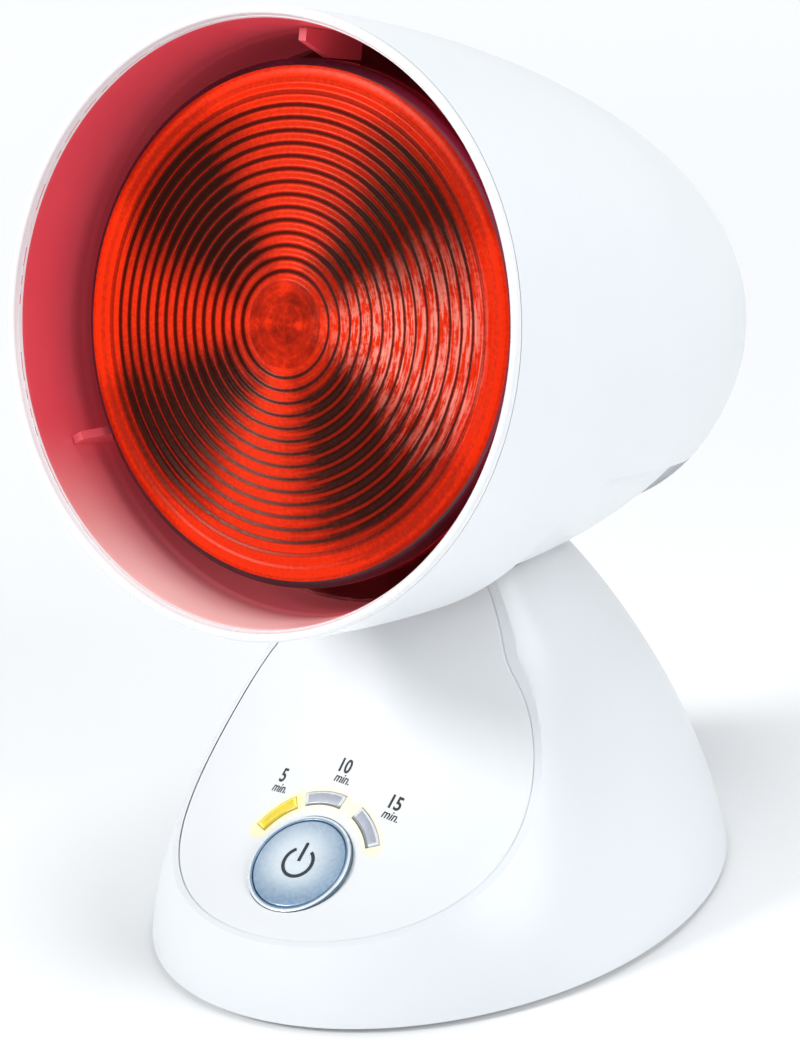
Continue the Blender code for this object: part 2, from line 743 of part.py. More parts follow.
def lampholder(head, place):
    sleeve_outside = CAP_RADIUS + FIT + SLEEVE_WALL
    bore = sleeve_outside + FIT
    floor = HOLDER_BACK - HOLDER_FLOOR
    profile = [(bore, HOLDER_FRONT), (HOLDER_RADIUS - HOLDER_FLANGE, HOLDER_FRONT)]
    profile += [(HOLDER_RADIUS - HOLDER_FLANGE, floor - HOLDER_FLOOR), (HOLDER_RADIUS, floor)]
    profile += [(HOLDER_RADIUS, HOLDER_BACK), (0, HOLDER_BACK), (0, floor), (bore, floor)]
    holder = add("lampholder", turned(profile[5::-1] + profile[:5:-1], MIDDLE_ROUND), CERAMIC, head, place)
    pilots = []
    pilot_end = HOLDER_BACK - SCREW_REACH / 2 - FIT
    for x, y in holder_screw_places():
        pilots.append(moved(rod(SCREW_RADIUS + RUNNING, pilot_end, HOLDER_BACK + FIT, TINY_ROUND), x, y))
    cut(holder, cutter("holder_pilots", several(pilots), head, place))
    start = HOLDER_FRONT + FIT
    profile = ((sleeve_outside, start), (sleeve_outside, start + SLEEVE_LENGTH),
               (sleeve_outside - SLEEVE_WALL, start + SLEEVE_LENGTH), (sleeve_outside - SLEEVE_WALL, start))
    add("holder_sleeve", turned(profile, SMALL_ROUND), BRASS, head, place)
    leaf_back = floor - FIT
    leaf = block((-CONTACT_RADIUS, -CONTACT_RADIUS / 2, leaf_back - SPRING_LEAF),
                 (CONTACT_RADIUS, CONTACT_RADIUS / 2, leaf_back))
    leaf = add("holder_contact", leaf, BRASS, head, place)
    tip_end = BULB_NECK_END + FIT + CAP_LENGTH + FIT + CONTACT_LENGTH + FIT
    stub = rod(CONTACT_RADIUS / 2, tip_end, leaf_back - SPRING_LEAF / 2, TINY_ROUND)
    join(leaf, cutter("holder_contact_stub", stub, head, place))


def lamp_frame(head, place):
    """The steel frame that carries the lampholder and hangs the head on the axle."""
    disc_front = HOLDER_BACK + FIT
    disc = rod(FRAME_DISC, disc_front, disc_front + FRAME_THICK, MIDDLE_ROUND)
    frame = add("lamp_frame", disc, STEEL, head, place)
    outside = CHEEK_INSIDE + FRAME_THICK
    edge = [(outside, WEB_FRONT), (outside, WEB_TAPER_START), (WEB_TAIL_HALF, WEB_TAPER_END),
            (WEB_TAIL_HALF, disc_front + FRAME_THICK / 2)]
    outline = edge + [(-x, back) for x, back in reversed(edge)]
    web = down_prism(outline, WEB_DEPTH, WEB_DEPTH + FRAME_THICK)
    join(frame, cutter("frame_web", web, head, place))
    rounded = arc((PIVOT_BELOW_AXIS, PIVOT_BEHIND_RIM), CHEEK_REACH, CHEEK_START,
                  CHEEK_START - CHEEK_SWEEP, 14)
    outline = rounded + [(WEB_DEPTH, WEB_FRONT), (WEB_DEPTH, CHEEK_BACK)]
    for name, side in (("left", -1), ("right", 1)):
        cheek = side_prism(outline, FRAME_THICK / 2)
        middle = side * (CHEEK_INSIDE + FRAME_THICK / 2)
        join(frame, cutter(f"frame_cheek_{name}", moved(cheek, x=middle), head, place))
    hole = sideways(rod(AXLE_RADIUS + RUNNING, -outside - OVERRUN, outside + OVERRUN))
    hole = moved(hole, y=PIVOT_BELOW_AXIS, z=PIVOT_BEHIND_RIM)
    cut(frame, cutter("frame_axle_hole", hole, head, place))
    holes = []
    for x, y in frame_screw_places() + holder_screw_places():
        hole = rod(SCREW_RADIUS + FIT, disc_front - OVERRUN, disc_front + FRAME_THICK + OVERRUN, TINY_ROUND)
        holes.append(moved(hole, x, y))
    cut(frame, cutter("frame_screw_holes", several(holes), head, place))
    for number, (x, y) in enumerate(frame_screw_places(), start=1):
        spot = (place[0] + x, place[1] + y, place[2] + disc_front - FIT)
        shape = screw_shape(SCREW_HEAD, SCREW_HEAD_THICK, SCREW_RADIUS, SCREW_REACH)
        add(f"frame_screw_{number}", shape, STEEL, head, spot)
    for number, (x, y) in enumerate(holder_screw_places(), start=1):
        spot = (place[0] + x, place[1] + y, place[2] + disc_front + FRAME_THICK + FIT)
        shape = screw_shape(SCREW_HEAD, SCREW_HEAD_THICK, SCREW_RADIUS, SCREW_REACH / 2 + FRAME_THICK)
        add(f"holder_screw_{number}", shape, STEEL, head, spot, (math.pi, 0, 0))
    cutout = block((-CUTOUT_HALF_WIDTH, WEB_DEPTH - FIT - CUTOUT_THICK, HOLDER_FRONT),
                   (CUTOUT_HALF_WIDTH, WEB_DEPTH - FIT, HOLDER_FRONT + CUTOUT_LENGTH))
    add("thermal_cutout", cutout, DARK_PLASTIC, head, place)


# Base


def neck_trim():
    """What is taken off the dome to leave a neck that is round about the pivot."""
    centre = (0, PIVOT_HEIGHT)
    over = arc(centre, NECK_TOP_RADIUS, math.pi, NECK_SLOPE, 12)
    fall = DOME_HEIGHT * NECK_FALL_SHARE
    low = (over[-1][0] + fall * math.sin(NECK_SLOPE), over[-1][1] - fall * math.cos(NECK_SLOPE))
    back = low[0] + BASE_REAR
    top = PIVOT_HEIGHT + DOME_HEIGHT
    front = -BASE_FRONT - OVERRUN
    return side_prism(over + [low, (back, low[1]), (back, top), (front, top), (front, PIVOT_HEIGHT)],
                      BASE_HALF_WIDTH)


def post_places():
    return ((-POST_SIDE, -POST_FRONT), (POST_SIDE, -POST_FRONT),
            (-POST_SIDE, POST_BACK), (POST_SIDE, POST_BACK))


def base_shell(base):
    top = DOME_HEIGHT * SECTION_SHARES[-1]
    shell = add("base_shell", dome(0, SHELL_FOOT, top), WHITE, base)
    cut(shell, cutter("base_hollow", dome(BASE_WALL, -OVERRUN, HOLLOW_TOP, 2), base))
    plate_top = PLATE_BOTTOM + PLATE_THICK
    posts = [moved(rod(POST_RADIUS, plate_top + FIT, DOME_HEIGHT), x, y) for x, y in post_places()]
    posts = cutter("base_posts", several(posts), base)
    core = dome(BASE_WALL / 2, -OVERRUN, HOLLOW_TOP + BASE_WALL / 2, 2)
    combine(posts, "INTERSECT", cutter("base_core", core, base))
    join(shell, posts)
    for name, side in (("left", -1), ("right", 1)):
        flat = block((NECK_HALF_WIDTH, -BASE_FRONT, NECK_SHOULDER),
                     (BASE_HALF_WIDTH, BASE_REAR, DOME_HEIGHT + OVERRUN))
        bmesh.ops.scale(flat, vec=Vector((side, 1, 1)), verts=flat.verts)
        cut(shell, cutter(f"neck_flat_{name}", flat, base))
    cut(shell, cutter("neck_trim", neck_trim(), base))
    boss = sideways(rod(BOSS_RADIUS, -BOSS_HALF_WIDTH, BOSS_HALF_WIDTH, MIDDLE_ROUND))
    join(shell, cutter("neck_boss", moved(boss, z=PIVOT_HEIGHT), base))
    bore = sideways(rod(AXLE_RADIUS + FIT, -BOSS_HALF_WIDTH - OVERRUN, BOSS_HALF_WIDTH + OVERRUN))
    bore = moved(bore, z=PIVOT_HEIGHT)
    duct = moved(rod(WIRE_DUCT_RADIUS, HOLLOW_TOP - OVERRUN, DOME_HEIGHT + OVERRUN), y=WIRE_DUCT_BACK)
    cut(shell, cutter("neck_bore", bore, base), cutter("neck_duct", duct, base))
    cut(shell, cutter("panel_face", panel_roll(0), base))
    pocket = cutter("panel_pocket", dome(PANEL_EDGE, -OVERRUN, PANEL_TOP + FIT), base)
    combine(pocket, "INTERSECT", cutter("panel_pocket_roll", panel_roll(PANEL_THICK + FIT), base))
    cut(shell, pocket)
    pilots = [moved(rod(SCREW_RADIUS + RUNNING, 0, plate_top + SCREW_REACH, TINY_ROUND), x, y)
              for x, y in post_places()]
    cut(shell, cutter("base_pilots", several(pilots), base))
    back = centre_back(GLAND_HEIGHT) + rear_depth(GLAND_HEIGHT)
    hole = rod(GLAND_RADIUS + FIT, -GLAND_LENGTH, GLAND_LENGTH)
    cut(shell, cutter("gland_hole", hole, base, (0, back, GLAND_HEIGHT), (-math.pi / 2, 0, 0)))


def front_panel(base, panel_frame):
    panel = add("front_panel", dome(PANEL_EDGE + FIT, -OVERRUN, PANEL_TOP), PANEL_WHITE, base)
    combine(panel, "INTERSECT", cutter("panel_back", panel_roll(PANEL_THICK), base))
    posts = [moved(rod(BOARD_POST_RADIUS, FIT - BOARD_DEPTH, PANEL_THICK * 2), x, y)
             for x, y in board_post_places()]
    join(panel, cutter("panel_posts", several(posts), panel_frame))
    cut(panel, cutter("panel_front", panel_roll(0), base))
    recess = rod(RING_OUTSIDE + GUIDE_GAP, -RING_FLOOR, BOARD_DEPTH, MIDDLE_ROUND)
    hole = rod(BUTTON_RADIUS + BUTTON_GAP + RING_WALL + GUIDE_GAP, -BOARD_DEPTH, BOARD_DEPTH, MIDDLE_ROUND)
    cut(panel, cutter("ring_recess", recess, panel_frame), cutter("ring_hole", hole, panel_frame))
    slots = []
    edge = GUIDE_GAP / GUIDE_INNER
    for angle in GUIDE_ANGLES.values():
        slots.append(panel_sector(GUIDE_INNER - GUIDE_GAP, GUIDE_OUTER + GUIDE_GAP, angle,
                                  GUIDE_HALF_ANGLE + edge, -BOARD_DEPTH, BOARD_DEPTH))
    cut(panel, cutter("guide_slots", several(slots), panel_frame))
    pilot_end = SMALL_SCREW_REACH - BOARD_DEPTH
    pilots = [moved(rod(SMALL_SCREW_RADIUS + RUNNING, -BOARD_DEPTH, pilot_end, TINY_ROUND), x, y)
              for x, y in board_post_places()]
    cut(panel, cutter("panel_pilots", several(pilots), panel_frame))


def board_post_places():
    side = BOARD_HALF_WIDTH - BOARD_POST_INSET
    low = BOARD_POST_INSET - BOARD_LOW
    high = BOARD_HIGH - BOARD_POST_INSET
    return ((-side, low), (side, low), (-side, high), (side, high))


def timer_lights(panel_frame, base):
    for label, angle in GUIDE_ANGLES.items():
        finish = LIT_YELLOW if label == "5" else CLEAR_GREY
        shape = panel_sector(GUIDE_INNER, GUIDE_OUTER, angle, GUIDE_HALF_ANGLE, -GUIDE_DEPTH, BOARD_DEPTH)
        guide = add(f"light_guide_{label}", shape, finish, panel_frame)
        cut(guide, cutter(f"guide_face_{label}", panel_roll(-GUIDE_PROUD), base))
        middle = (GUIDE_INNER + GUIDE_OUTER) / 2
        spot = (middle * math.cos(angle), middle * math.sin(angle), FIT - BOARD_DEPTH)
        profile = ((0, 0), (LED_RADIUS, 0), (LED_RADIUS, LED_HEIGHT - LED_RADIUS / 2),
                   (LED_RADIUS / 2, LED_HEIGHT), (0, LED_HEIGHT))
        add(f"led_{label}", turned(profile, TINY_ROUND), CLEAR_GREY, panel_frame, spot)


def power_button(panel_frame):
    skirt_end = -BUTTON_SKIRT - BUTTON_FLANGE_THICK
    profile = ((0, BUTTON_CROWN), (BUTTON_RADIUS / 2, BUTTON_CROWN * CROWN_HALF_SHARE),
               (BUTTON_RADIUS - BUTTON_EDGE, BUTTON_EDGE * EDGE_RISE_SHARE), (BUTTON_RADIUS, BUTTON_EDGE),
               (BUTTON_RADIUS, -BUTTON_SKIRT), (BUTTON_FLANGE, -BUTTON_SKIRT), (BUTTON_FLANGE, skirt_end),
               (BUTTON_STEM_RADIUS, skirt_end), (BUTTON_STEM_RADIUS, -BUTTON_STEM_END), (0, -BUTTON_STEM_END))
    add("power_button", turned(profile, MIDDLE_ROUND), BUTTON_BLUE, panel_frame)
    inside = BUTTON_RADIUS + BUTTON_GAP
    profile = ((inside, -RING_DEPTH), (inside, RING_TOP), (RING_OUTSIDE - RING_WALL, RING_TOP),
               (RING_OUTSIDE, RING_TOP - RING_WALL), (RING_OUTSIDE, FIT - RING_FLOOR),
               (inside + RING_WALL, FIT - RING_FLOOR), (inside + RING_WALL, -RING_DEPTH))
    add("button_ring", turned(profile, MIDDLE_ROUND), CHROME, panel_frame)
    plunger_top = -BUTTON_STEM_END - FIT
    plunger = rod(PLUNGER_RADIUS, plunger_top - PLUNGER_LENGTH, plunger_top)
    add("switch_plunger", plunger, DARK_PLASTIC, panel_frame)


def timer_board(panel_frame):
    board_top = -BOARD_DEPTH
    board = block((-BOARD_HALF_WIDTH, -BOARD_LOW, board_top - BOARD_THICK),
                  (BOARD_HALF_WIDTH, BOARD_HIGH, board_top))
    board = add("timer_board", board, BOARD_GREEN, panel_frame)
    holes = [moved(rod(SMALL_SCREW_RADIUS + FIT, board_top - OVERRUN, board_top + OVERRUN, TINY_ROUND), x, y)
             for x, y in board_post_places()]
    cut(board, cutter("board_holes", several(holes), panel_frame))
    for number, (x, y) in enumerate(board_post_places(), start=1):
        shape = screw_shape(SMALL_SCREW_HEAD, SCREW_HEAD_THICK, SMALL_SCREW_RADIUS, SMALL_SCREW_REACH)
        add(f"board_screw_{number}", shape, STEEL, panel_frame, (x, y, board_top - BOARD_THICK - FIT))
    low = board_top + FIT
    body = block((-SWITCH_HALF, -SWITCH_HALF, low), (SWITCH_HALF, SWITCH_HALF, low + SWITCH_HEIGHT))
    switch = add("tact_switch", body, DARK_PLASTIC, panel_frame)
    well = rod(PLUNGER_RADIUS + BUTTON_GAP, low + SWITCH_FLOOR, low + SWITCH_HEIGHT + OVERRUN)
    cut(switch, cutter("switch_well", well, panel_frame))


def foot_places():
    return ((-FOOT_FRONT_SIDE, -FOOT_FRONT), (FOOT_FRONT_SIDE, -FOOT_FRONT),
            (-FOOT_BACK_SIDE, FOOT_BACK), (FOOT_BACK_SIDE, FOOT_BACK))


def standoff_places():
    side = POWER_HALF_WIDTH - STANDOFF_INSET
    back = POWER_BACK - STANDOFF_INSET
    front = POWER_BACK - POWER_LENGTH + STANDOFF_INSET
    return ((-side, back), (side, back), (-side, front), (side, front))


def base_plate(base):
    top = PLATE_BOTTOM + PLATE_THICK
    plate = add("base_plate", dome(BASE_WALL + PLATE_GAP, PLATE_BOTTOM, top), DARK_PLASTIC, base)
    standoffs = [moved(rod(STANDOFF_RADIUS, top - PLATE_THICK / 2, POWER_HEIGHT - FIT, TINY_ROUND), x, y)
                 for x, y in standoff_places()]
    join(plate, cutter("plate_standoffs", several(standoffs), base))
    pads = [moved(rod(FOOT_RADIUS + FIT, -OVERRUN, FOOT_THICK + FIT), x, y) for x, y in foot_places()]
    cut(plate, cutter("plate_foot_recesses", several(pads), base))
    head_floor = PLATE_BOTTOM + SCREW_HEAD_THICK
    holes = []
    for x, y in post_places():
        holes.append(moved(rod(SCREW_HEAD + FIT, -OVERRUN, head_floor, TINY_ROUND), x, y))
    cut(plate, cutter("plate_head_recesses", several(holes), base))
    holes = [moved(rod(SCREW_RADIUS + FIT, -OVERRUN, top + OVERRUN, TINY_ROUND), x, y)
             for x, y in post_places()]
    cut(plate, cutter("plate_screw_holes", several(holes), base))
    for number, (x, y) in enumerate(post_places(), start=1):
        shape = screw_shape(SCREW_HEAD, SCREW_HEAD_THICK - FIT, SCREW_RADIUS, SCREW_REACH)
        add(f"base_screw_{number}", shape, STEEL, base, (x, y, head_floor - FIT))
    names = ("front_left", "front_right", "back_left", "back_right")
    for name, (x, y) in zip(names, foot_places()):
        add(f"foot_{name}", rod(FOOT_RADIUS, 0, FOOT_THICK, SMALL_ROUND), RUBBER, base, (x, y, 0))
    low = top + FIT
    ballast = block((-BALLAST_HALF_WIDTH, BALLAST_BACK - BALLAST_LENGTH, low),
                    (BALLAST_HALF_WIDTH, BALLAST_BACK, low + BALLAST_THICK))
    add("ballast_weight", ballast, CAST_IRON, base)


def power_board(base):
    low = POWER_HEIGHT
    board = block((-POWER_HALF_WIDTH, POWER_BACK - POWER_LENGTH, low),
                  (POWER_HALF_WIDTH, POWER_BACK, low + BOARD_THICK))
    add("power_board", board, BOARD_GREEN, base)
    floor = low + BOARD_THICK + FIT
    left = STANDOFF_INSET - POWER_HALF_WIDTH
    front = POWER_BACK - POWER_LENGTH + STANDOFF_INSET
    seat_box("timer_relay", RELAY_SIZE, (left, front, floor), RELAY_BLUE, base)
    beside = left + RELAY_SIZE[0] + PART_SPACING
    seat_box("supply_transformer", TRANSFORMER_SIZE, (beside, front, floor), DARK_PLASTIC, base)
    behind = front + TRANSFORMER_SIZE[1] + PART_SPACING
    seat_box("supply_capacitor", CAPACITOR_SIZE, (left, behind, floor), NYLON, base)
    beside = left + CAPACITOR_SIZE[0] + PART_SPACING
    seat_box("terminal_block", TERMINAL_SIZE, (beside, behind, floor), NYLON, base)
    across = beside + TERMINAL_SIZE[0] + PART_SPACING
    fuse = sideways(rod(FUSE_RADIUS, 0, FUSE_LENGTH, TINY_ROUND))
    add("mains_fuse", fuse, CERAMIC, base, (across, behind + FUSE_RADIUS, floor + FUSE_RADIUS))


def seat_box(name, size, corner, finish, parent):
    high = [start + length for start, length in zip(corner, size)]
    add(name, block(corner, high), finish, parent)


def cord_gland(base):
    back = centre_back(GLAND_HEIGHT) + rear_depth(GLAND_HEIGHT)
    slant = GLAND_FLANGE * GLAND_SLANT_SHARE
    profile = ((GLAND_BORE, -GLAND_LENGTH), (GLAND_RADIUS, -GLAND_LENGTH), (GLAND_RADIUS, slant),
               (GLAND_FLANGE, slant), (GLAND_FLANGE - GLAND_THICK / 2, slant + GLAND_THICK),
               (GLAND_BORE, slant + GLAND_THICK))
    gland = turned(profile[::-1], SMALL_ROUND)
    add("cord_gland", gland, RUBBER, base, (0, back, GLAND_HEIGHT), (-math.pi / 2, 0, 0))


def pivot_parts(base):
    """The axle in the neck, its friction washers and its end nut."""
    cheek_outside = CHEEK_INSIDE + FRAME_THICK
    nut_start = cheek_outside + FIT
    end = nut_start + AXLE_HEAD_THICK * 2
    head_side = -cheek_outside - FIT
    profile = ((0, head_side - AXLE_HEAD_THICK), (AXLE_HEAD, head_side - AXLE_HEAD_THICK),
               (AXLE_HEAD, head_side), (AXLE_RADIUS, head_side), (AXLE_RADIUS, end), (0, end))
    add("pivot_axle", sideways(turned(profile, SMALL_ROUND)), STEEL, base, (0, 0, PIVOT_HEIGHT))
    inner = AXLE_RADIUS + FIT
    hexagon = arc((0, 0), AXLE_HEAD, 0, 2 * math.pi * 5 / 6, 5)
    nut = add("axle_nut", sideways(prism(hexagon, nut_start, end - FIT)), STEEL, base, (0, 0, PIVOT_HEIGHT))
    bore = moved(sideways(rod(inner, 0, end + OVERRUN)), z=PIVOT_HEIGHT)
    cut(nut, cutter("nut_bore", bore, base))
    for name, side in (("left", -1), ("right", 1)):
        low = BOSS_HALF_WIDTH + FIT
        high = CHEEK_INSIDE - FIT
        profile = ((inner, low), (BOSS_RADIUS, low), (BOSS_RADIUS, high), (inner, high))
        washer = sideways(turned(profile, SMALL_ROUND))
        turn = (0, 0, math.pi if side < 0 else 0)
        add(f"friction_washer_{name}", washer, NYLON, base, (0, 0, PIVOT_HEIGHT), turn)


def main():
    clear_scene()
    ahead = pivot_ahead()
    base = empty("base_origin", (0, ahead, 0), 0)
    head = empty("head_pivot", (0, ahead, PIVOT_HEIGHT), -math.pi / 2 - TILT)
    panel_frame = empty("button_origin", (0, ahead - BUTTON_AHEAD, BUTTON_HEIGHT), PANEL_SLOPE)
    place = (0, -PIVOT_BELOW_AXIS, -PIVOT_BEHIND_RIM)
    bpy.context.view_layer.update()

    head_shell(head, place)
    head_lower_cover(head, place)
    inner_shade(head, place)
    heat_shield(head, place)
    bulb(head, place)
    lampholder(head, place)
    lamp_frame(head, place)

    base_shell(base)
    front_panel(base, panel_frame)
    timer_lights(panel_frame, base)
    power_button(panel_frame)
    timer_board(panel_frame)
    base_plate(base)
    power_board(base)
    cord_gland(base)
    pivot_parts(base)


main()
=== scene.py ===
"""Looks of the infrared heat lamp: smooth casings, ribbed red bulb, lit timer marks, floor and light.

Metres. Head pieces are made in the head's own directions, x sideways, y down from the shade's axis
and z back from its rim. Base pieces are made round the vertical line through the tilt pivot. Panel
pieces are made on the plane that touches the panel's face at the button, x sideways and y up it.
"""

import json
import math

import bmesh
import bpy
from mathutils import Matrix, Vector


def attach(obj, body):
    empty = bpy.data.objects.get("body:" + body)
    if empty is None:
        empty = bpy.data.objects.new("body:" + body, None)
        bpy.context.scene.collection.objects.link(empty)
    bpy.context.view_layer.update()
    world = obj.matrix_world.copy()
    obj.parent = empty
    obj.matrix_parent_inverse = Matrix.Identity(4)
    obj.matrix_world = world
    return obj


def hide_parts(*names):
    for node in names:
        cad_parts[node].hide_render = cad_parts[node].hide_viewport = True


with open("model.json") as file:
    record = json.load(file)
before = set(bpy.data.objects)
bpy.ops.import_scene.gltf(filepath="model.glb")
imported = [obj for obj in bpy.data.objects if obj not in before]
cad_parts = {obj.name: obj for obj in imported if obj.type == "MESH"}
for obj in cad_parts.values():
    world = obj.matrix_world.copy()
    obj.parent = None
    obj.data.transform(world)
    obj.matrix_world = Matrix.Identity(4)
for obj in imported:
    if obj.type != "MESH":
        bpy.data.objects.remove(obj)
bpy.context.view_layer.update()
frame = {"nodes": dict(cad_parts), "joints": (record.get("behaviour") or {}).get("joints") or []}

# Resolution of the round shapes
FINE = 192
RINGS = 48
ROD_SIDES = 64

# Tilt pivot
PIVOT = Vector(next(joint for joint in frame["joints"] if joint["name"] == "head_tilt")["pos_m"])
TILT = math.radians(16.5)
PIVOT_BELOW_AXIS = 0.041
PIVOT_BEHIND_RIM = 0.084
OVERRUN = 0.004
FIT = 0.0003
WELD = 0.0000005

# Shade
RIM_RADIUS = 0.0716
SHELL_LENGTH = 0.182
SHELL_WALL = 0.002
SHELL_END_WALL = 0.0024
TAPER_SHARE = 1.8
FULLNESS_SHARE = 0.44
WINDOW_DEPTH = 0.030
WINDOW_FRONT = 0.044
WINDOW_END = 0.138
WINDOW_CORNER = 0.022
WINDOW_END_CORNER = 0.003
WALL_GAP = 0.0006

# Rim and inner wall
LIP_THICK = 0.0015
LIP_INNER = 0.0695
LINER_WALL = 0.0013
LINER_LENGTH = 0.040
LINER_STEP_AT = 0.021
LINER_STEP = 0.00035
WALL_MOUTH = 0.0688
WALL_MOUTH_END = 0.012
RIBS = 3
RIB_THICK = 0.002
RIB_FRONT = 0.010
RIB_LENGTH = 0.022
RIB_TAPER_SHARE = 0.55

# Cover under the shade
COVER_WALL = 0.0016
COVER_FRONT = 0.043
COVER_END = 0.147
COVER_OVERLAP = 0.008
COVER_SLOT_HALF = 0.037
COVER_SLOT_FRONT = 0.055
COVER_SLOT_END = 0.136

# Bulb
BULB_RADIUS = 0.0605
LENS_RADIUS = 0.0564
LENS_FRONT = 0.0115
LENS_RISE = 0.003
LENS_SHOULDER = 0.002
LENS_WALL = 0.003
LENS_DISC = 0.0100
DISC_STEPS = 6
LENS_EDGE_STEPS = 10
RIPPLE_PITCH = 0.0029
RIPPLE_HEIGHT = 0.00042
RIPPLE_STEPS = 10
GLOW_STOPS = 0.0016
BULB_SEAM = 0.0190
BULB_WAIST = 0.0255
BULB_WAIST_RADIUS = 0.058
BOWL_END = 0.078
BOWL_NECK = 0.022
BULB_NECK_END = 0.1135
BULB_NECK_RADIUS = 0.0165
GLASS_WALL = 0.0018

# Base
BASE_HALF_WIDTH = 0.0675
BASE_FRONT = 0.079
BASE_REAR = 0.083
BASE_CENTRE_AHEAD = 0.018
CENTRE_LEAN_SHARE = 0.08
DOME_HEIGHT = 0.115
FRONT_HEIGHT = 0.080
REAR_HEIGHT = 0.118
NECK_APEX = 0.118
NECK_FRONT_SHARE = 0.5
FRONT_BLEND = 0.004
WIDTH_FALL_SHARE = 1.3
WIDTH_FULLNESS_SHARE = 0.76
FRONT_FALL_SHARE = 2.3
REAR_FALL_SHARE = 1.65
REAR_FULLNESS_SHARE = 0.85
BASE_WALL = 0.0026
SHELL_FOOT = 0.0015
HOLLOW_TOP = 0.085
DOME_TOP_SHARE = 0.985
NECK_TOP_RADIUS = 0.0105
NECK_SLOPE = math.radians(38.7)
NECK_FALL_SHARE = 0.65
NECK_HALF_WIDTH = 0.0224
BOSS_HALF_WIDTH = 0.023
NECK_SHOULDER = 0.088
BOSS_RADIUS = 0.010
AXLE_RADIUS = 0.003
GLAND_HEIGHT = 0.013
GLAND_HOLE = 0.0048

# Panel, button and timer marks
PANEL_RADIUS = 0.143
PANEL_BOW_RADIUS = 0.074
PANEL_SLOPE = math.radians(33)
PANEL_ROLL_START = math.radians(-95)
PANEL_THICK = 0.0021
PANEL_TOP = 0.0875
PANEL_EDGE = 0.0011
BUTTON_AHEAD = 0.0726
BUTTON_HEIGHT = 0.0302
BUTTON_RADIUS = 0.0120
BUTTON_CROWN = 0.0013
BUTTON_STEPS = 16
BUTTON_EDGE = 0.0005
BUTTON_SKIRT = 0.0034
BUTTON_FLANGE = 0.0129
BUTTON_FLANGE_THICK = 0.0010
BUTTON_STEM_RADIUS = 0.003
BUTTON_STEM_END = 0.0052
BUTTON_GAP = 0.0002
RING_WALL = 0.0004
RING_OUTSIDE = 0.0134
RING_TOP = 0.0008
RING_FLOOR = 0.0008
RING_DEPTH = 0.0023
GUIDE_INNER = 0.0166
GUIDE_OUTER = 0.0200
GUIDE_PROUD = 0.00025
GUIDE_GAP = 0.00015
GUIDE_FLOOR = -0.0070
GUIDE_ROUNDING = 0.0004
GUIDE_EDGE = 0.0006
GUIDE_STEPS = 24
GUIDE_HALF_ANGLE = math.radians(16.5)
GUIDE_ANGLES = {"5": math.radians(137.5), "10": math.radians(96), "15": math.radians(47)}
ICON_RADIUS = 0.0039
ICON_STROKE = 0.00085
ICON_BAR_TOP = 0.0056
ICON_BAR_FOOT = 0.0003
ICON_GAP = math.radians(34)
PRINT_LIFT = 0.00012
DIGIT_HEIGHT = 0.0036
WORD_HEIGHT = 0.00224
WORD_SLANT = 0.18
LABEL_TURN = -0.10
LETTER_WIDTH_SHARE = 0.80
LETTER_WEIGHT = 0.016
LABELS = (("5", -0.0168, 0.0222, "digit"), ("min.", -0.0163, 0.0188, "word"),
          ("10", 0.0002, 0.0270, "digit"), ("min.", 0.0006, 0.0237, "word"),
          ("15", 0.0168, 0.0212, "digit"), ("min.", 0.0168, 0.0178, "word"))

# Camera: where it looks from, worked out from the rim's and the base's outlines in the photograph
CAMERA_AZIMUTH = math.radians(36.66)
CAMERA_ELEVATION = math.radians(20.45)
CAMERA_ROLL = math.radians(-5.22)
CAMERA_DISTANCE = 0.881
CAMERA_TARGET = Vector((0.01776, -0.05006, 0.1078))
FOCAL_PIXELS = 3795.4
PHOTO_HEIGHT = 1060
SENSOR_WIDTH = 36.0

# Room
SKY_BLUE = (0.86, 0.93, 1.0)
SKY_STRENGTH = 0.32
LIGHTS_AIM = Vector((0, 0, 0.11))
FLOOR_REACH = 4.0
PAPER_GREY = (0.905, 0.905, 0.905)
PAPER_WHITE = (0.925, 0.925, 0.925)

# The span of a noise that is drawn out into patches
PATCH_LOW = 0.3
PATCH_HIGH = 0.7

# Light that spills from the timer marks: how far over the panel, and how strong
SPILL_NEAR = 0.0013
SPILL_FAR = 0.0044
SPILL_LIT = 0.62
SPILL_UNLIT = 0.34
SPILL_EMISSION = 0.10
SPILL_YELLOW = (0.95, 0.87, 0.30)
SPILL_LIGHT = (1.0, 0.85, 0.25)

# Inner wall: the directions round the axis of its painted highlight and painted shade, and its colours
WALL_HIGHLIGHT_TOWARDS = 1.75
WALL_SHADE_TOWARDS = -1.1
# The wall's colours paint the red bulb's light, its glow, its shade and its highlight on white plastic
WALL_PAINTED_GLOW = 0.22
WALL_RED_LIGHT = (0.60, 0.052, 0.078)
WALL_BRIGHT_RED_LIGHT = (0.68, 0.072, 0.098)
WALL_SHADED_RED = (0.20, 0.012, 0.016)
WALL_HIGHLIGHT_PINK = (0.78, 0.50, 0.48)

# Glass: each bright fan of painted reflection: its direction, its reach to either side and its strength.
# The left one stands at both ends of the turn.
LENS_REFLECTION_FANS = ((0.02, 0.80, 1.0), (1.62, 0.72, 0.85), (3.10, 0.62, 0.80), (-3.18, 0.62, 0.80),
             (-1.62, 0.72, 0.95))
LENS_GLINT_TOWARDS = 0.04
LENS_EMISSION = 0.32
# The glass's colours, from its painted shade through its painted reflection, and its painted pink glints
LENS_BLACK = (0.016, 0.0012, 0.0004)
LENS_DARK_RED = (0.32, 0.010, 0.002)
LENS_RED = (0.70, 0.024, 0.003)
LENS_GLINT_PINK = (0.86, 0.40, 0.31)
LENS_SHEEN = (1.0, 0.42, 0.30)
# The plum edge, with its painted highlight
PLUM_DARK = (0.022, 0.0030, 0.0080)
PLUM = (0.050, 0.0050, 0.0150)
PLUM_HIGHLIGHT = (0.200, 0.0110, 0.0420)
CRIMSON_DARK = (0.30, 0.012, 0.022)
CRIMSON = (0.44, 0.024, 0.036)
SILVERING = (0.42, 0.30, 0.31)

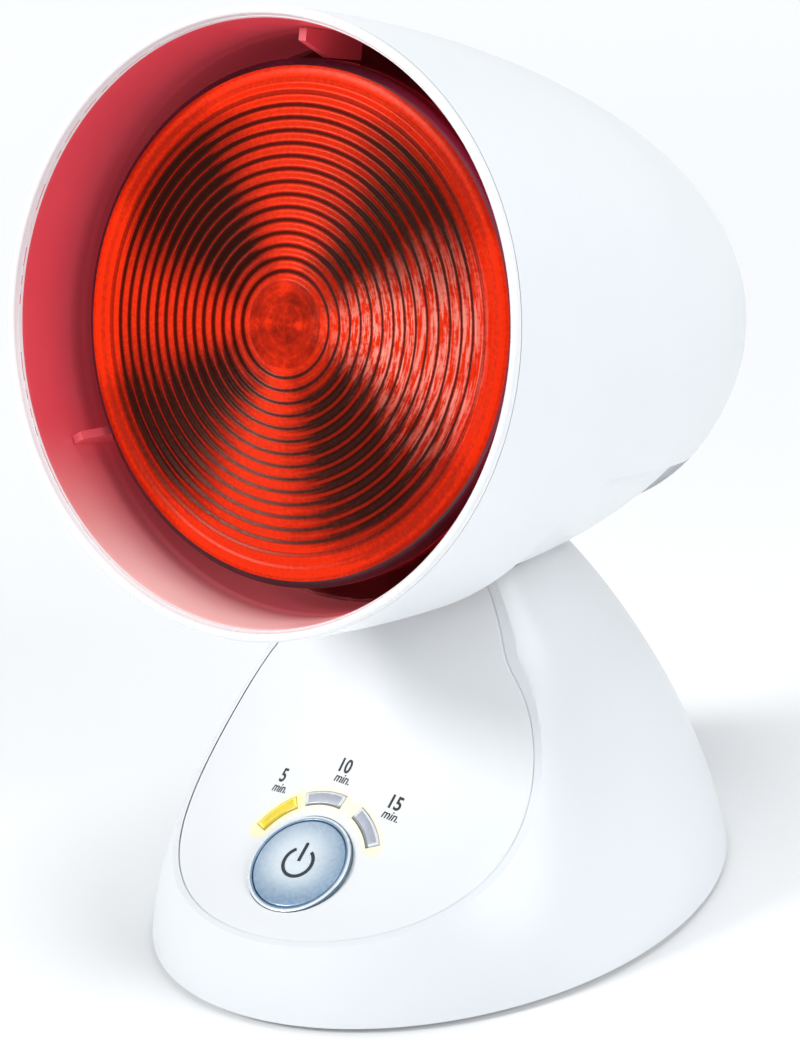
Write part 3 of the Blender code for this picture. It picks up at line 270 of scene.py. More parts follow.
# Casing, button and marks
CASING_WHITE = (0.86, 0.885, 0.905)
PANEL_WHITE = (0.90, 0.91, 0.92)
LIP_WHITE = (0.90, 0.905, 0.915)
# The button's pale middle and the blues of its painted shade
BUTTON_PALE = (0.74, 0.82, 0.87)
BUTTON_EDGE_SHADE_BLUE = (0.215, 0.345, 0.485)
BUTTON_LOW_SHADE_BLUE = (0.105, 0.205, 0.345)
PEARL = (0.90, 0.94, 0.98)
RING_SILVER = (0.76, 0.81, 0.85)
RING_BRIGHT = (0.84, 0.88, 0.91)
RING_BLUE = (0.200, 0.315, 0.440)
# The ring's dark outer edge is painted shade
RING_GAP_SHADE = (0.10, 0.17, 0.23)
# Guides: their colours, their edges' painted highlight and their inner edges' painted shade
LIT_YELLOW = (0.84, 0.60, 0.01)
LIT_EDGE_HIGHLIGHT = (0.95, 0.86, 0.12)
LIT_SHADE = (0.50, 0.38, 0.01)
CLEAR_GREY = (0.40, 0.42, 0.50)
CLEAR_EDGE_HIGHLIGHT = (0.80, 0.81, 0.85)
CLEAR_SHADE = (0.24, 0.25, 0.28)
ICON_INK = (0.012, 0.018, 0.035)
LABEL_INK = (0.012, 0.012, 0.014)


# Shapes


def object_of(shape, name, place, finishes, smooth=32):
    """Makes an object of a bmesh drawn in the frame that place gives, smooth but for its sharp edges."""
    bmesh.ops.remove_doubles(shape, verts=shape.verts, dist=WELD)
    bmesh.ops.recalc_face_normals(shape, faces=shape.faces)
    bmesh.ops.transform(shape, matrix=place, verts=shape.verts)
    mesh = bpy.data.meshes.new(name)
    shape.to_mesh(mesh)
    shape.free()
    made = bpy.data.objects.new(name, mesh)
    bpy.context.scene.collection.objects.link(made)
    for finish in finishes:
        mesh.materials.append(finish)
    mesh.shade_smooth()
    mesh.set_sharp_from_angle(angle=math.radians(smooth))
    return made


def turned(profile, segments):
    """A closed body turned round Z from (radius, z) points."""
    shape = bmesh.new()
    rings = []
    for radius, height in profile:
        if radius == 0:
            rings.append([shape.verts.new((0, 0, height))])
            continue
        ring = []
        for step in range(segments):
            angle = 2 * math.pi * step / segments
            ring.append(shape.verts.new((radius * math.cos(angle), radius * math.sin(angle), height)))
        rings.append(ring)
    pairs = list(zip(rings, rings[1:]))
    if len(rings[0]) > 1:
        pairs.append((rings[-1], rings[0]))
    for first, second in pairs:
        for step in range(segments):
            after = (step + 1) % segments
            corners = (first[step % len(first)], first[after % len(first)],
                       second[after % len(second)], second[step % len(second)])
            shape.faces.new(list(dict.fromkeys(corners)))
    return shape


def drawn_through(rings, triangles=False):
    """A closed body drawn through a row of closed rings with equal numbers of points."""
    shape = bmesh.new()
    rows = [[shape.verts.new(point) for point in ring] for ring in rings]
    shape.faces.new(rows[0])
    shape.faces.new(rows[-1])
    for first, second in zip(rows, rows[1:]):
        for number in range(len(first)):
            after = (number + 1) % len(first)
            if triangles:
                shape.faces.new((first[number], first[after], second[after]))
                shape.faces.new((first[number], second[after], second[number]))
            else:
                shape.faces.new((first[number], first[after], second[after], second[number]))
    return shape


def prism(outline, low, high):
    """An outline in x and y, drawn out from one height to another."""
    return drawn_through([[(x, y, height) for x, y in outline] for height in (low, high)])


def side_prism(outline, half_width):
    """An outline in y and z, drawn out sideways to both sides."""
    shape = prism(outline, -half_width, half_width)
    turn = Matrix(((0, 0, 1, 0), (1, 0, 0, 0), (0, 1, 0, 0), (0, 0, 0, 1)))
    bmesh.ops.transform(shape, matrix=turn, verts=shape.verts)
    return shape


def block(low, high):
    (x0, y0, z0), (x1, y1, z1) = low, high
    return prism(((x0, y0), (x1, y0), (x1, y1), (x0, y1)), z0, z1)


def arc(centre, radius, start, end, steps):
    points = []
    for step in range(steps + 1):
        angle = start + (end - start) * step / steps
        points.append((centre[0] + radius * math.cos(angle), centre[1] + radius * math.sin(angle)))
    return points


def raised(shape, height):
    bmesh.ops.translate(shape, vec=Vector((0, 0, height)), verts=shape.verts)
    return shape


def sideways(shape):
    bmesh.ops.rotate(shape, matrix=Matrix.Rotation(math.pi / 2, 3, "Y"), verts=shape.verts)
    return shape


def rod(radius, low, high):
    return turned(((0, low), (radius, low), (radius, high), (0, high)), ROD_SIDES)


def combine(target, operation, shape, place):
    """Applies one Boolean with a body given as a bmesh."""
    tool = object_of(shape, "tool", place, ())
    modifier = target.modifiers.new("boolean", "BOOLEAN")
    modifier.operation = operation
    modifier.solver = "EXACT"
    modifier.object = tool
    bpy.context.view_layer.update()
    mesh = bpy.data.meshes.new_from_object(target.evaluated_get(bpy.context.evaluated_depsgraph_get()))
    target.modifiers.clear()
    old = target.data
    target.data = mesh
    bpy.data.meshes.remove(old)
    bpy.data.objects.remove(tool, do_unlink=True)


def cut(target, shape, place):
    combine(target, "DIFFERENCE", shape, place)


def finish_shading(target, smooth=32):
    """Welds what the Booleans left, then shades the piece smooth but for its sharp edges."""
    shape = bmesh.new()
    shape.from_mesh(target.data)
    bmesh.ops.remove_doubles(shape, verts=shape.verts, dist=WELD * 4)
    bmesh.ops.dissolve_degenerate(shape, edges=shape.edges, dist=WELD * 4)
    shape.to_mesh(target.data)
    shape.free()
    target.data.shade_smooth()
    target.data.set_sharp_from_angle(angle=math.radians(smooth))
    modifier = target.modifiers.new("even_normals", "WEIGHTED_NORMAL")
    modifier.keep_sharp = True


def paint_faces(target, chosen):
    """Gives the second material to the faces whose distance from the axis and depth suit."""
    to_head = HEAD.inverted()
    for face in target.data.polygons:
        where = to_head @ face.center
        face.material_index = 1 if chosen(math.hypot(where.x, where.y), where.z) else 0


# Frames of reference


def head_frame():
    across = Vector((1, 0, 0))
    down = Vector((0, -math.sin(TILT), -math.cos(TILT)))
    back = Vector((0, math.cos(TILT), -math.sin(TILT)))
    origin = PIVOT - back * PIVOT_BEHIND_RIM - down * PIVOT_BELOW_AXIS
    place = Matrix((across, down, back)).transposed().to_4x4()
    place.translation = origin
    return place


HEAD = head_frame()
BASE = Matrix.Translation((0, PIVOT.y, 0))
PANEL = (Matrix.Translation((0, PIVOT.y - BUTTON_AHEAD, BUTTON_HEIGHT))
         @ Matrix.Rotation(PANEL_SLOPE, 4, "X"))


# Curves and surfaces that several pieces share


def ogive(radius, length, back):
    """Radius of the shade's curve at a depth behind the rim."""
    share = min(max(back / length, 0), 1)
    return radius * (1 - share**TAPER_SHARE) ** FULLNESS_SHARE


def liner_inside(back):
    """Radius of the inner wall, before its step and its opened mouth."""
    shade_inside = ogive(RIM_RADIUS - SHELL_WALL, SHELL_LENGTH - SHELL_END_WALL, back)
    return shade_inside - WALL_GAP - LINER_WALL


def ogive_profile(radius, length, start, end, rings):
    first = math.asin(start / length)
    last = math.asin(end / length)
    points = []
    for step in range(rings + 1):
        back = length * math.sin(first + (last - first) * step / rings)
        points.append((ogive(radius, length, back), back))
    return points


def half_width(height):
    return BASE_HALF_WIDTH * (1 - (height / DOME_HEIGHT) ** WIDTH_FALL_SHARE) ** WIDTH_FULLNESS_SHARE


def front_depth(height):
    """The larger of the belly's and the neck's reach forward, joined smoothly."""
    belly = BASE_FRONT * (1 - (height / FRONT_HEIGHT) ** FRONT_FALL_SHARE)
    neck = (NECK_APEX - height) * NECK_FRONT_SHARE
    return (belly + neck + math.hypot(belly - neck, FRONT_BLEND)) / 2


def rear_depth(height):
    return BASE_REAR * (1 - (height / REAR_HEIGHT) ** REAR_FALL_SHARE) ** REAR_FULLNESS_SHARE


def dome(inset, low, high, levels=RINGS, segments=FINE):
    """The base's domed body, set in by a distance and cut off below and above."""
    heights = [low] if low >= 0 else [low, 0]
    for step in range(1, levels):
        height = DOME_HEIGHT * step / levels
        if max(low, 0) < height < high:
            heights.append(height)
    heights.append(high)
    rings = []
    for height in heights:
        level = max(height, 0)
        ring = []
        for step in range(segments):
            angle = 2 * math.pi * step / segments
            depth = front_depth(level) if math.sin(angle) < 0 else rear_depth(level)
            x = (half_width(level) - inset) * math.cos(angle)
            y = CENTRE_LEAN_SHARE * level - BASE_CENTRE_AHEAD + (depth - inset) * math.sin(angle)
            ring.append((x, y, height))
        rings.append(ring)
    return drawn_through(rings, triangles=True)


def panel_roll(extra, steps=72, across=48):
    """What lies in front of the panel's face, as a body that runs right across the base."""
    centre = (-BUTTON_AHEAD - PANEL_RADIUS * math.sin(PANEL_SLOPE),
              BUTTON_HEIGHT + PANEL_RADIUS * math.cos(PANEL_SLOPE))
    outline = arc(centre, PANEL_RADIUS + extra, PANEL_ROLL_START, 0, steps)
    outline += [(centre[0], outline[-1][1]), (outline[0][0], centre[1])]
    reach = BASE_HALF_WIDTH + OVERRUN
    rings = []
    for step in range(across + 1):
        x = reach * (2 * step / across - 1)
        bow = x * x / (2 * PANEL_BOW_RADIUS)
        rings.append([(x, y + bow, z) for y, z in outline])
    return drawn_through(rings)


def panel_height(x, up):
    """How far the panel's face stands off the plane that touches it at the button."""
    bow = x * x / (2 * PANEL_BOW_RADIUS)
    along = up - bow * math.cos(PANEL_SLOPE)
    return PANEL_RADIUS - bow * math.sin(PANEL_SLOPE) - math.sqrt(PANEL_RADIUS**2 - along**2)


# Materials


class Nodes:
    """A material's node tree, with short calls for the nodes used here."""

    def __init__(self, name, place=None):
        self.material = bpy.data.materials.new(name)
        self.material.use_nodes = True
        self.tree = self.material.node_tree
        self.shader = self.tree.nodes["Principled BSDF"]
        self.place = self.tree.nodes.new("ShaderNodeTexCoord").outputs["Object"]
        if place is not None:
            self.place = self.in_frame(place)

    def feed(self, socket, value):
        if isinstance(value, bpy.types.NodeSocket):
            self.tree.links.new(value, socket)
        else:
            socket.default_value = value

    def set(self, name, value):
        self.feed(self.shader.inputs[name], value)

    def colour_so_far(self):
        return self.shader.inputs["Base Color"].links[0].from_socket

    def math(self, operation, first, second=0.0, third=0.0):
        node = self.tree.nodes.new("ShaderNodeMath")
        node.operation = operation
        for socket, value in zip(node.inputs, (first, second, third)):
            self.feed(socket, value)
        return node.outputs[0]

    def add(self, first, second):
        return self.math("ADD", first, second)

    def less(self, first, second):
        return self.math("SUBTRACT", first, second)

    def times(self, first, second):
        return self.math("MULTIPLY", first, second)

    def larger(self, first, second):
        return self.math("MAXIMUM", first, second)

    def apart(self, first, second):
        """How far two values differ, either way."""
        return self.math("ABSOLUTE", self.less(first, second))

    def distance(self, x, y):
        """The distance that x and y give together."""
        return self.math("SQRT", self.add(self.times(x, x), self.times(y, y)))

    def noise(self, scale, detail=3.0, roughness=0.5, stretch=None, vector=None):
        vector = vector or self.place
        if stretch:
            mapping = self.tree.nodes.new("ShaderNodeMapping")
            self.feed(mapping.inputs["Vector"], vector)
            mapping.inputs["Scale"].default_value = stretch
            vector = mapping.outputs["Vector"]
        node = self.tree.nodes.new("ShaderNodeTexNoise")
        self.feed(node.inputs["Vector"], vector)
        node.inputs["Scale"].default_value = scale
        node.inputs["Detail"].default_value = detail
        node.inputs["Roughness"].default_value = roughness
        return node.outputs["Fac"]

    def spread(self, value, low, high, to_low=0.0, to_high=1.0):
        """Maps low..high of a value onto to_low..to_high, smoothly and held at both ends."""
        node = self.tree.nodes.new("ShaderNodeMapRange")
        node.interpolation_type = "SMOOTHSTEP"
        self.feed(node.inputs["Value"], value)
        limits = {"From Min": low, "From Max": high, "To Min": to_low, "To Max": to_high}
        for name, number in limits.items():
            node.inputs[name].default_value = number
        return node.outputs["Result"]

    def patches(self, noise, to_low=0.0, to_high=1.0):
        """Draws a noise out into patches, from one value to another."""
        return self.spread(noise, PATCH_LOW, PATCH_HIGH, to_low, to_high)

    def gloss(self, scale, smooth, rough, detail=3.0):
        """Roughness that changes in patches."""
        self.set("Roughness", self.patches(self.noise(scale, detail), smooth, rough))

    def mix(self, factor, first, second):
        node = self.tree.nodes.new("ShaderNodeMix")
        node.data_type = "RGBA"
        self.feed(node.inputs["Factor"], factor)
        for socket, value in zip((node.inputs[6], node.inputs[7]), (first, second)):
            self.feed(socket, value if isinstance(value, bpy.types.NodeSocket) else (*value, 1))
        return node.outputs[2]

    def parts(self, vector=None):
        node = self.tree.nodes.new("ShaderNodeSeparateXYZ")
        self.feed(node.inputs[0], vector or self.place)
        return node.outputs

    def joined(self, first, second):
        node = self.tree.nodes.new("ShaderNodeCombineXYZ")
        self.feed(node.inputs[0], first)
        self.feed(node.inputs[1], second)
        return node.outputs[0]

    def bump(self, height, distance, strength):
        node = self.tree.nodes.new("ShaderNodeBump")
        self.feed(node.inputs["Height"], height)
        node.inputs["Distance"].default_value = distance
        node.inputs["Strength"].default_value = strength
        self.set("Normal", node.outputs["Normal"])

    def in_frame(self, place):
        """The same point as seen in the head's or the panel's own frame."""
        relative = place.inverted()
        mapping = self.tree.nodes.new("ShaderNodeMapping")
        self.feed(mapping.inputs["Vector"], self.place)
        mapping.inputs["Location"].default_value = relative.translation
        mapping.inputs["Rotation"].default_value = relative.to_euler()
        return mapping.outputs["Vector"]


def dimmed(colour, share):
    return tuple(channel * share for channel in colour)


def plastic(name, colour, rough, coat=0.0, grain=1400.0, worn=0.03):
    """Moulded plastic: faint mottling, smudges in its gloss and a fine grain."""
    made = Nodes(name)
    mottling = made.spread(made.noise(22.0, 5.0), 0.15, 0.85)
    made.set("Base Color", made.mix(mottling, dimmed(colour, 1 - worn), colour))
    made.set("Roughness", made.spread(made.noise(60.0, 4.0), 0.15, 0.85, rough * 0.9, rough * 1.12))
    made.set("Coat Weight", coat)
    made.set("Coat Roughness", 0.12)
    made.bump(made.noise(grain, 2.0), 0.00003, 0.25)
    return made


def metal(name, colour, rough, stretch=(1, 1, 1), scale=500.0):
    """Worked metal: drawn streaks and dulled patches."""
    made = Nodes(name)
    streaks = made.noise(scale, 4.0, 0.6, stretch)
    made.set("Base Color", made.mix(made.patches(made.noise(90.0, 4.0)), dimmed(colour, 0.72), colour))
    made.set("Roughness", made.patches(streaks, rough * 0.75, rough * 1.35))
    made.set("Metallic", 1.0)
    made.bump(streaks, 0.00004, 0.35)
    return made


def white_casing():
    return plastic("white_casing", CASING_WHITE, 0.36, 0.15).material


def panel_plastic():
    """The panel's smooth white with the light that spills round the timer marks."""
    made = plastic("panel_plastic", PANEL_WHITE, 0.30, 0.2)
    x, up, _ = made.parts(made.in_frame(PANEL))
    radius = made.distance(x, up)
    angle = made.math("ARCTAN2", up, x)
    middle = (GUIDE_INNER + GUIDE_OUTER) / 2
    off_ring = made.apart(radius, middle)
    glow = 0.0
    for label, centre in GUIDE_ANGLES.items():
        past_end = made.larger(made.less(made.apart(angle, centre), GUIDE_HALF_ANGLE), 0.0)
        away = made.distance(made.times(past_end, middle), off_ring)
        strength = SPILL_LIT if label == "5" else SPILL_UNLIT
        glow = made.larger(glow, made.spread(away, SPILL_NEAR, SPILL_FAR, strength, 0.0))
    made.set("Base Color", made.mix(glow, made.colour_so_far(), SPILL_YELLOW))
    made.set("Emission Color", (*SPILL_LIGHT, 1))
    made.set("Emission Strength", made.times(glow, SPILL_EMISSION))
    return made.material


def lip_plastic():
    return plastic("lip_white", LIP_WHITE, 0.28, 0.3).material


def inner_wall():
    """Red bulb light painted on white plastic: painted shade deep inside, a painted highlight low by the
    rim.
    """
    made = Nodes("inner_wall", HEAD)
    x, down, back = made.parts()
    turn = made.math("ARCTAN2", down, x)
    # A painted highlight, low down on the wall and strongest by the rim
    low = made.spread(made.apart(turn, WALL_HIGHLIGHT_TOWARDS), 0.15, 1.0, 1.0, 0.0)
    by_rim = made.spread(back, 0.004, 0.024, 1.0, 0.0)
    painted_highlight = made.times(low, made.add(made.times(by_rim, 0.85), 0.1))
    # Painted shade, darkest deep inside and high up
    high = made.spread(made.apart(turn, WALL_SHADE_TOWARDS), 0.2, 1.1, 1.0, 0.0)
    deep = made.spread(back, 0.006, 0.036)
    painted_shade = made.times(made.add(made.times(high, 0.70), 0.15), deep)
    # The red bulb's light painted on the wall, under the painted shade and highlight
    red = made.mix(made.noise(30.0, 3.0), WALL_RED_LIGHT, WALL_BRIGHT_RED_LIGHT)
    wall_light_and_shade = made.mix(painted_highlight, made.mix(painted_shade, red, WALL_SHADED_RED), WALL_HIGHLIGHT_PINK)
    made.set("Base Color", wall_light_and_shade)
    made.gloss(80.0, 0.34, 0.44)
    # A painted glow of the same red light
    made.set("Emission Color", wall_light_and_shade)
    made.set("Emission Strength", WALL_PAINTED_GLOW)
    made.bump(made.noise(1400.0, 2.0), 0.00003, 0.2)
    return made.material


def lens_brightness(made, radius, direction):
    """The painted reflection of the mirror behind the glass: in the fans, in the plain middle and at the
    edge.
    """
    bright = 0.0
    for centre, reach, strength in LENS_REFLECTION_FANS:
        bright = made.add(bright, made.spread(made.apart(direction, centre), 0.05, reach, strength, 0.0))
    middle = made.spread(radius, LENS_DISC * 1.05, LENS_DISC * 2.1, 0.62, 0.0)
    edge = made.spread(radius, LENS_RADIUS * 0.86, LENS_RADIUS * 0.99, 0.0, 0.60)
    return made.math("MINIMUM", made.add(made.larger(bright, middle), edge), 1.0)


def lens_slope(made, radius):
    """Slope of the pressed rings: 1 where the face falls back most, 0 where it comes forward most."""
    phase = made.times(made.less(radius, LENS_DISC), 2 * math.pi / RIPPLE_PITCH)
    return made.math("MULTIPLY_ADD", made.math("SINE", phase), 0.5, 0.5)


def lens_glints(made, radius, direction, streaks):
    """Where painted pink glints streak the right-hand fan."""
    side = made.spread(made.apart(direction, LENS_GLINT_TOWARDS), 0.10, 0.74, 1.0, 0.0)
    from_disc = made.spread(radius, LENS_DISC * 0.6, LENS_DISC * 2.6)
    to_edge = made.spread(radius, LENS_RADIUS * 0.88, LENS_RADIUS * 0.98, 1.0, 0.0)
    return made.times(made.times(side, made.times(from_disc, to_edge)), streaks)


def ruby_lens():
    """Red pressed glass over a mirror: four bright fans of painted reflection between painted shade,
    lined by its rings.
    """
    made = Nodes("ruby_lens", HEAD)
    x, down, _ = made.parts()
    radius = made.distance(x, down)
    angle = made.math("ARCTAN2", made.times(down, -1.0), x)
    polar = made.joined(made.times(radius, 1500.0), made.times(angle, 5.0))
    grain = made.noise(1.0, 3.0, 0.6, vector=polar)
    speckle = made.noise(900.0, 2.0, 0.6)
    waver = made.times(made.less(made.noise(30.0, 2.0), 0.5), 0.7)
    direction = made.add(angle, made.add(waver, made.times(made.less(grain, 0.5), 0.30)))
    # The mirror's painted reflection, bright in fans
    glint = lens_brightness(made, radius, direction)
    slope = lens_slope(made, radius)
    inside = made.spread(radius, LENS_DISC * 0.98, LENS_DISC * 1.02, 1.0, 0.0)
    by_rim = made.spread(radius, LENS_RADIUS * 0.90, LENS_RADIUS * 0.97, 0.0, 0.75)
    # Dark lines of painted shade along the rings, none in the plain middle or by the rim
    lines = made.larger(made.spread(slope, 0.02, 0.46), made.larger(inside, by_rim))
    blotch = made.spread(made.noise(160.0, 3.0, 0.6), 0.35, 0.65, 0.45, 1.0)
    blotches = made.times(inside, made.less(1.0, blotch))
    lit = made.times(glint, made.math("MULTIPLY_ADD", lines, 0.86, 0.14))
    lit = made.times(lit, made.less(1.0, blotches))
    # Thin painted glints on the rings across the dark fans
    ring_glints = made.times(made.less(1.0, glint), made.spread(slope, 0.72, 1.0, 0.0, 0.30))
    bright = made.times(made.add(lit, ring_glints), made.spread(speckle, 0.30, 0.60, 0.88, 1.04))
    colour = made.mix(made.spread(bright, 0.0, 0.50), LENS_BLACK, LENS_DARK_RED)
    colour = made.mix(made.spread(bright, 0.40, 1.0), colour, LENS_RED)
    # Painted pink glints, drawn out along the rings
    streak = made.spread(made.add(grain, made.times(speckle, 0.20)), 0.52, 0.70)
    glints = lens_glints(made, radius, direction, made.times(streak, lines))
    made.set("Base Color", made.mix(made.times(glints, 0.85), colour, LENS_GLINT_PINK))
    made.set("Roughness", made.patches(speckle, 0.20, 0.30))
    made.set("Specular IOR Level", 0.12)
    made.set("Specular Tint", (*LENS_SHEEN, 1))
    made.set("Emission Color", colour)
    made.set("Emission Strength", LENS_EMISSION)
    made.bump(speckle, 0.00006, 0.3)
    return made.material


def plum_edge():
    """The thick rounded edge of the glass, where the red turns plum, with a painted highlight to its
    right.
    """
    made = Nodes("plum_edge", HEAD)
    tone = made.spread(made.noise(70.0, 3.0), 0.35, 0.65)
    x, down, _ = made.parts()
    # A painted highlight towards the right and top
    lit = made.spread(made.less(x, made.times(down, 0.35)), 0.030, 0.058)
    made.set("Base Color", made.mix(lit, made.mix(tone, PLUM_DARK, PLUM), PLUM_HIGHLIGHT))
    made.set("Roughness", 0.14)
    made.set("Specular IOR Level", 0.35)
    made.set("Coat Weight", 0.25)
    made.set("Coat Roughness", 0.05)
    made.bump(made.noise(300.0, 2.0), 0.00008, 0.2)
    return made.material


def crimson_glass():
    """The bulb's glass side: red over silvering, very glossy."""
    made = Nodes("crimson_glass", HEAD)
    _, _, back = made.parts()
    behind = made.spread(back, 0.022, 0.034)
    red = made.mix(made.noise(60.0, 3.0), CRIMSON_DARK, CRIMSON)
    made.set("Base Color", made.mix(behind, red, SILVERING))
    made.set("Metallic", made.times(behind, 0.9))
    made.gloss(90.0, 0.07, 0.13)
    made.set("Coat Weight", 0.7)
    made.set("Coat Roughness", 0.05)
    made.bump(made.noise(200.0, 2.0), 0.0001, 0.15)
    return made.material


def button_face():
    """Pearl blue-grey, lightest at its middle, with painted shade darkening its edge and its lower side.
    """
    made = Nodes("button_face", PANEL)
    x, up, _ = made.parts()
    radius = made.distance(made.add(x, 0.0008), made.less(up, 0.0012))
    # Painted shade, darker towards the button's edge
    colour = made.mix(made.spread(radius, 0.0028, 0.0135), BUTTON_PALE, BUTTON_EDGE_SHADE_BLUE)
    # Painted shade on the button's lower side
    low = made.spread(up, -0.0125, -0.0030, 0.55, 0.0)
    colour = made.mix(low, colour, BUTTON_LOW_SHADE_BLUE)
    pearl = made.spread(made.noise(900.0, 3.0), 0.35, 0.65, 0.0, 0.10)
    made.set("Base Color", made.mix(pearl, colour, PEARL))
    made.gloss(120.0, 0.26, 0.34)
    made.set("Metallic", 0.25)
    made.set("Coat Weight", 0.6)
    made.set("Coat Roughness", 0.10)
    made.bump(made.noise(1200.0, 2.0), 0.00002, 0.2)
    return made.material


def button_surround():
    """Satin ring: blue-grey on its inner slope, silver on its crest, painted shade at its outer edge."""
    made = Nodes("button_surround", PANEL)
    x, up, _ = made.parts()
    radius = made.distance(x, up)
    crest = made.spread(radius, RING_OUTSIDE - RING_WALL * 2.2, RING_OUTSIDE - RING_WALL * 1.4)
    edge = made.spread(radius, RING_OUTSIDE - RING_WALL * 0.35, RING_OUTSIDE - RING_WALL * 0.1)
    silver = made.mix(made.patches(made.noise(260.0, 3.0)), RING_SILVER, RING_BRIGHT)
    # Painted shade at the outer edge
    made.set("Base Color", made.mix(edge, made.mix(crest, RING_BLUE, silver), RING_GAP_SHADE))
    made.set("Metallic", 0.35)
    made.gloss(180.0, 0.22, 0.30)
    made.set("Coat Weight", 0.2)
    made.bump(made.noise(900.0, 2.0), 0.00001, 0.2)
    return made.material


def light_guide(name, colour, glow, place=None):
    """Cloudy clear plastic that lets a little light through."""
    made = Nodes(name, place)
    made.set("Base Color", made.mix(made.patches(made.noise(500.0, 3.0)), dimmed(colour, 0.86), colour))
    made.gloss(300.0, 0.18, 0.30, 2.0)
    made.set("Coat Weight", 0.4)
    made.set("Emission Color", (*colour, 1))
    made.set("Emission Strength", glow)
    made.bump(made.noise(700.0, 2.0), 0.00004, 0.3)
    return made


def framed_guide(name, colour, glow, centre, light, painted_shade):
    """A light guide with a painted highlight on its outer edge and ends, and painted shade on its inner
    edge.
    """
    made = light_guide(name, colour, glow, PANEL)
    x, up, _ = made.parts()
    radius = made.distance(x, up)
    off = made.apart(made.math("ARCTAN2", up, x), centre)
    end = GUIDE_INNER * GUIDE_HALF_ANGLE
    # Painted highlight on the outer edge and the ends, painted shade on the inner edge
    outer = made.spread(radius, GUIDE_OUTER - GUIDE_EDGE * 1.2, GUIDE_OUTER - GUIDE_EDGE * 0.8)
    ends = made.spread(made.times(off, GUIDE_INNER), end - GUIDE_EDGE * 1.2, end - GUIDE_EDGE * 0.8)
    inner = made.spread(radius, GUIDE_INNER + GUIDE_EDGE * 0.9, GUIDE_INNER + GUIDE_EDGE * 1.3, 1.0, 0.0)
    # The painted highlight also lightens the guide towards its inner side
    fade = made.spread(radius, GUIDE_INNER, GUIDE_OUTER, 0.30, 0.0)
    shaded = made.mix(fade, made.colour_so_far(), light)
    edged = made.mix(made.larger(outer, ends), shaded, light)
    made.set("Base Color", made.mix(inner, edged, painted_shade))
    return made.material


def ink(name, colour):
    made = Nodes(name)
    made.set("Base Color", made.mix(made.noise(900.0, 3.0), dimmed(colour, 0.8), colour))
    made.gloss(600.0, 0.35, 0.5, 2.0)
    made.bump(made.noise(2500.0, 2.0), 0.00001, 0.2)
    return made.material


def board_laminate():
    """Solder mask over copper tracks."""
    made = plastic("board_laminate", (0.030, 0.17, 0.075), 0.35, 0.3)
    checks = made.noise(260.0, 0.0, 0.5, (1.0, 0.15, 1.0))
    tracks = made.times(made.spread(checks, 0.50, 0.53), 0.5)
    made.set("Base Color", made.mix(tracks, made.colour_so_far(), (0.07, 0.32, 0.12)))
    return made.material


def rubber():
    return plastic("rubber_black", (0.022, 0.022, 0.024), 0.78, grain=900.0, worn=0.25).material


def ceramic():
    return plastic("steatite", (0.80, 0.77, 0.71), 0.42, 0.1, grain=700.0, worn=0.08).material


def red_lit_aluminium():
    """The heat shield's aluminium, dull, with the red bulb's light painted on it."""
    made = Nodes("red_lit_aluminium")
    streaks = made.noise(160.0, 2.0, 0.4)
    # The bulb's red light, painted on
    painted_red_light = made.mix(made.patches(streaks), (0.20, 0.020, 0.026), (0.27, 0.030, 0.036))
    made.set("Base Color", painted_red_light)
    made.set("Metallic", 0.35)
    made.gloss(200.0, 0.42, 0.55)
    made.bump(streaks, 0.00002, 0.2)
    return made.material


def cast_iron():
    """Rough iron, with a coarse grain in place of the metal's streaks."""
    made = metal("cast_iron", (0.16, 0.155, 0.15), 0.62, scale=160.0)
    made.bump(made.noise(420.0, 5.0, 0.7), 0.0004, 0.8)
    return made.material


def repaint(names, finish):
    """Gives one material to solids that the scene shows as they are."""
    for name in names:
        node = frame["nodes"][name]
        node.data.materials.clear()
        node.data.materials.append(finish)


# Head


def shade(finish):
    """The outer shade, with the window that the lower cover closes."""
    length = SHELL_LENGTH - SHELL_END_WALL
    outer = ogive_profile(RIM_RADIUS, SHELL_LENGTH, FIT, SHELL_LENGTH, RINGS)
    inner = ogive_profile(RIM_RADIUS - SHELL_WALL, length, FIT, length, RINGS // 2)
    made = object_of(turned(outer[::-1] + inner, FINE), "shade", HEAD, (finish,))
    front = arc((WINDOW_DEPTH + WINDOW_CORNER, WINDOW_FRONT + WINDOW_CORNER), WINDOW_CORNER,
                -math.pi / 2, -math.pi, 32)
    back = arc((WINDOW_DEPTH + WINDOW_END_CORNER, WINDOW_END - WINDOW_END_CORNER), WINDOW_END_CORNER,
               math.pi, math.pi / 2, 12)
    deep = RIM_RADIUS + OVERRUN
    window = side_prism([(deep, WINDOW_FRONT)] + front + back + [(deep, WINDOW_END)], deep)
    cut(made, window, HEAD)
    finish_shading(made)
    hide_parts("head_shell")
    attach(made, "head")


def lower_cover(finish):
    """The piece under the shade, open where the neck goes in."""
    gap = SHELL_WALL + WALL_GAP
    outside = ogive_profile(RIM_RADIUS - gap, SHELL_LENGTH - gap, COVER_FRONT, COVER_END, RINGS // 2)
    inside = ogive_profile(RIM_RADIUS - gap - COVER_WALL, SHELL_LENGTH - gap - COVER_WALL,
                           COVER_FRONT, COVER_END, RINGS // 2)
    made = object_of(turned(outside + inside[::-1], FINE), "lower_cover", HEAD, (finish,))
    wide = RIM_RADIUS + OVERRUN
    above = block((-wide, -wide, 0), (wide, WINDOW_DEPTH - COVER_OVERLAP, SHELL_LENGTH))
    cut(made, above, HEAD)
    slot = block((-COVER_SLOT_HALF, 0, COVER_SLOT_FRONT), (COVER_SLOT_HALF, wide, COVER_SLOT_END))
    cut(made, slot, HEAD)
    finish_shading(made)
    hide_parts("head_lower_cover")
    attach(made, "head")


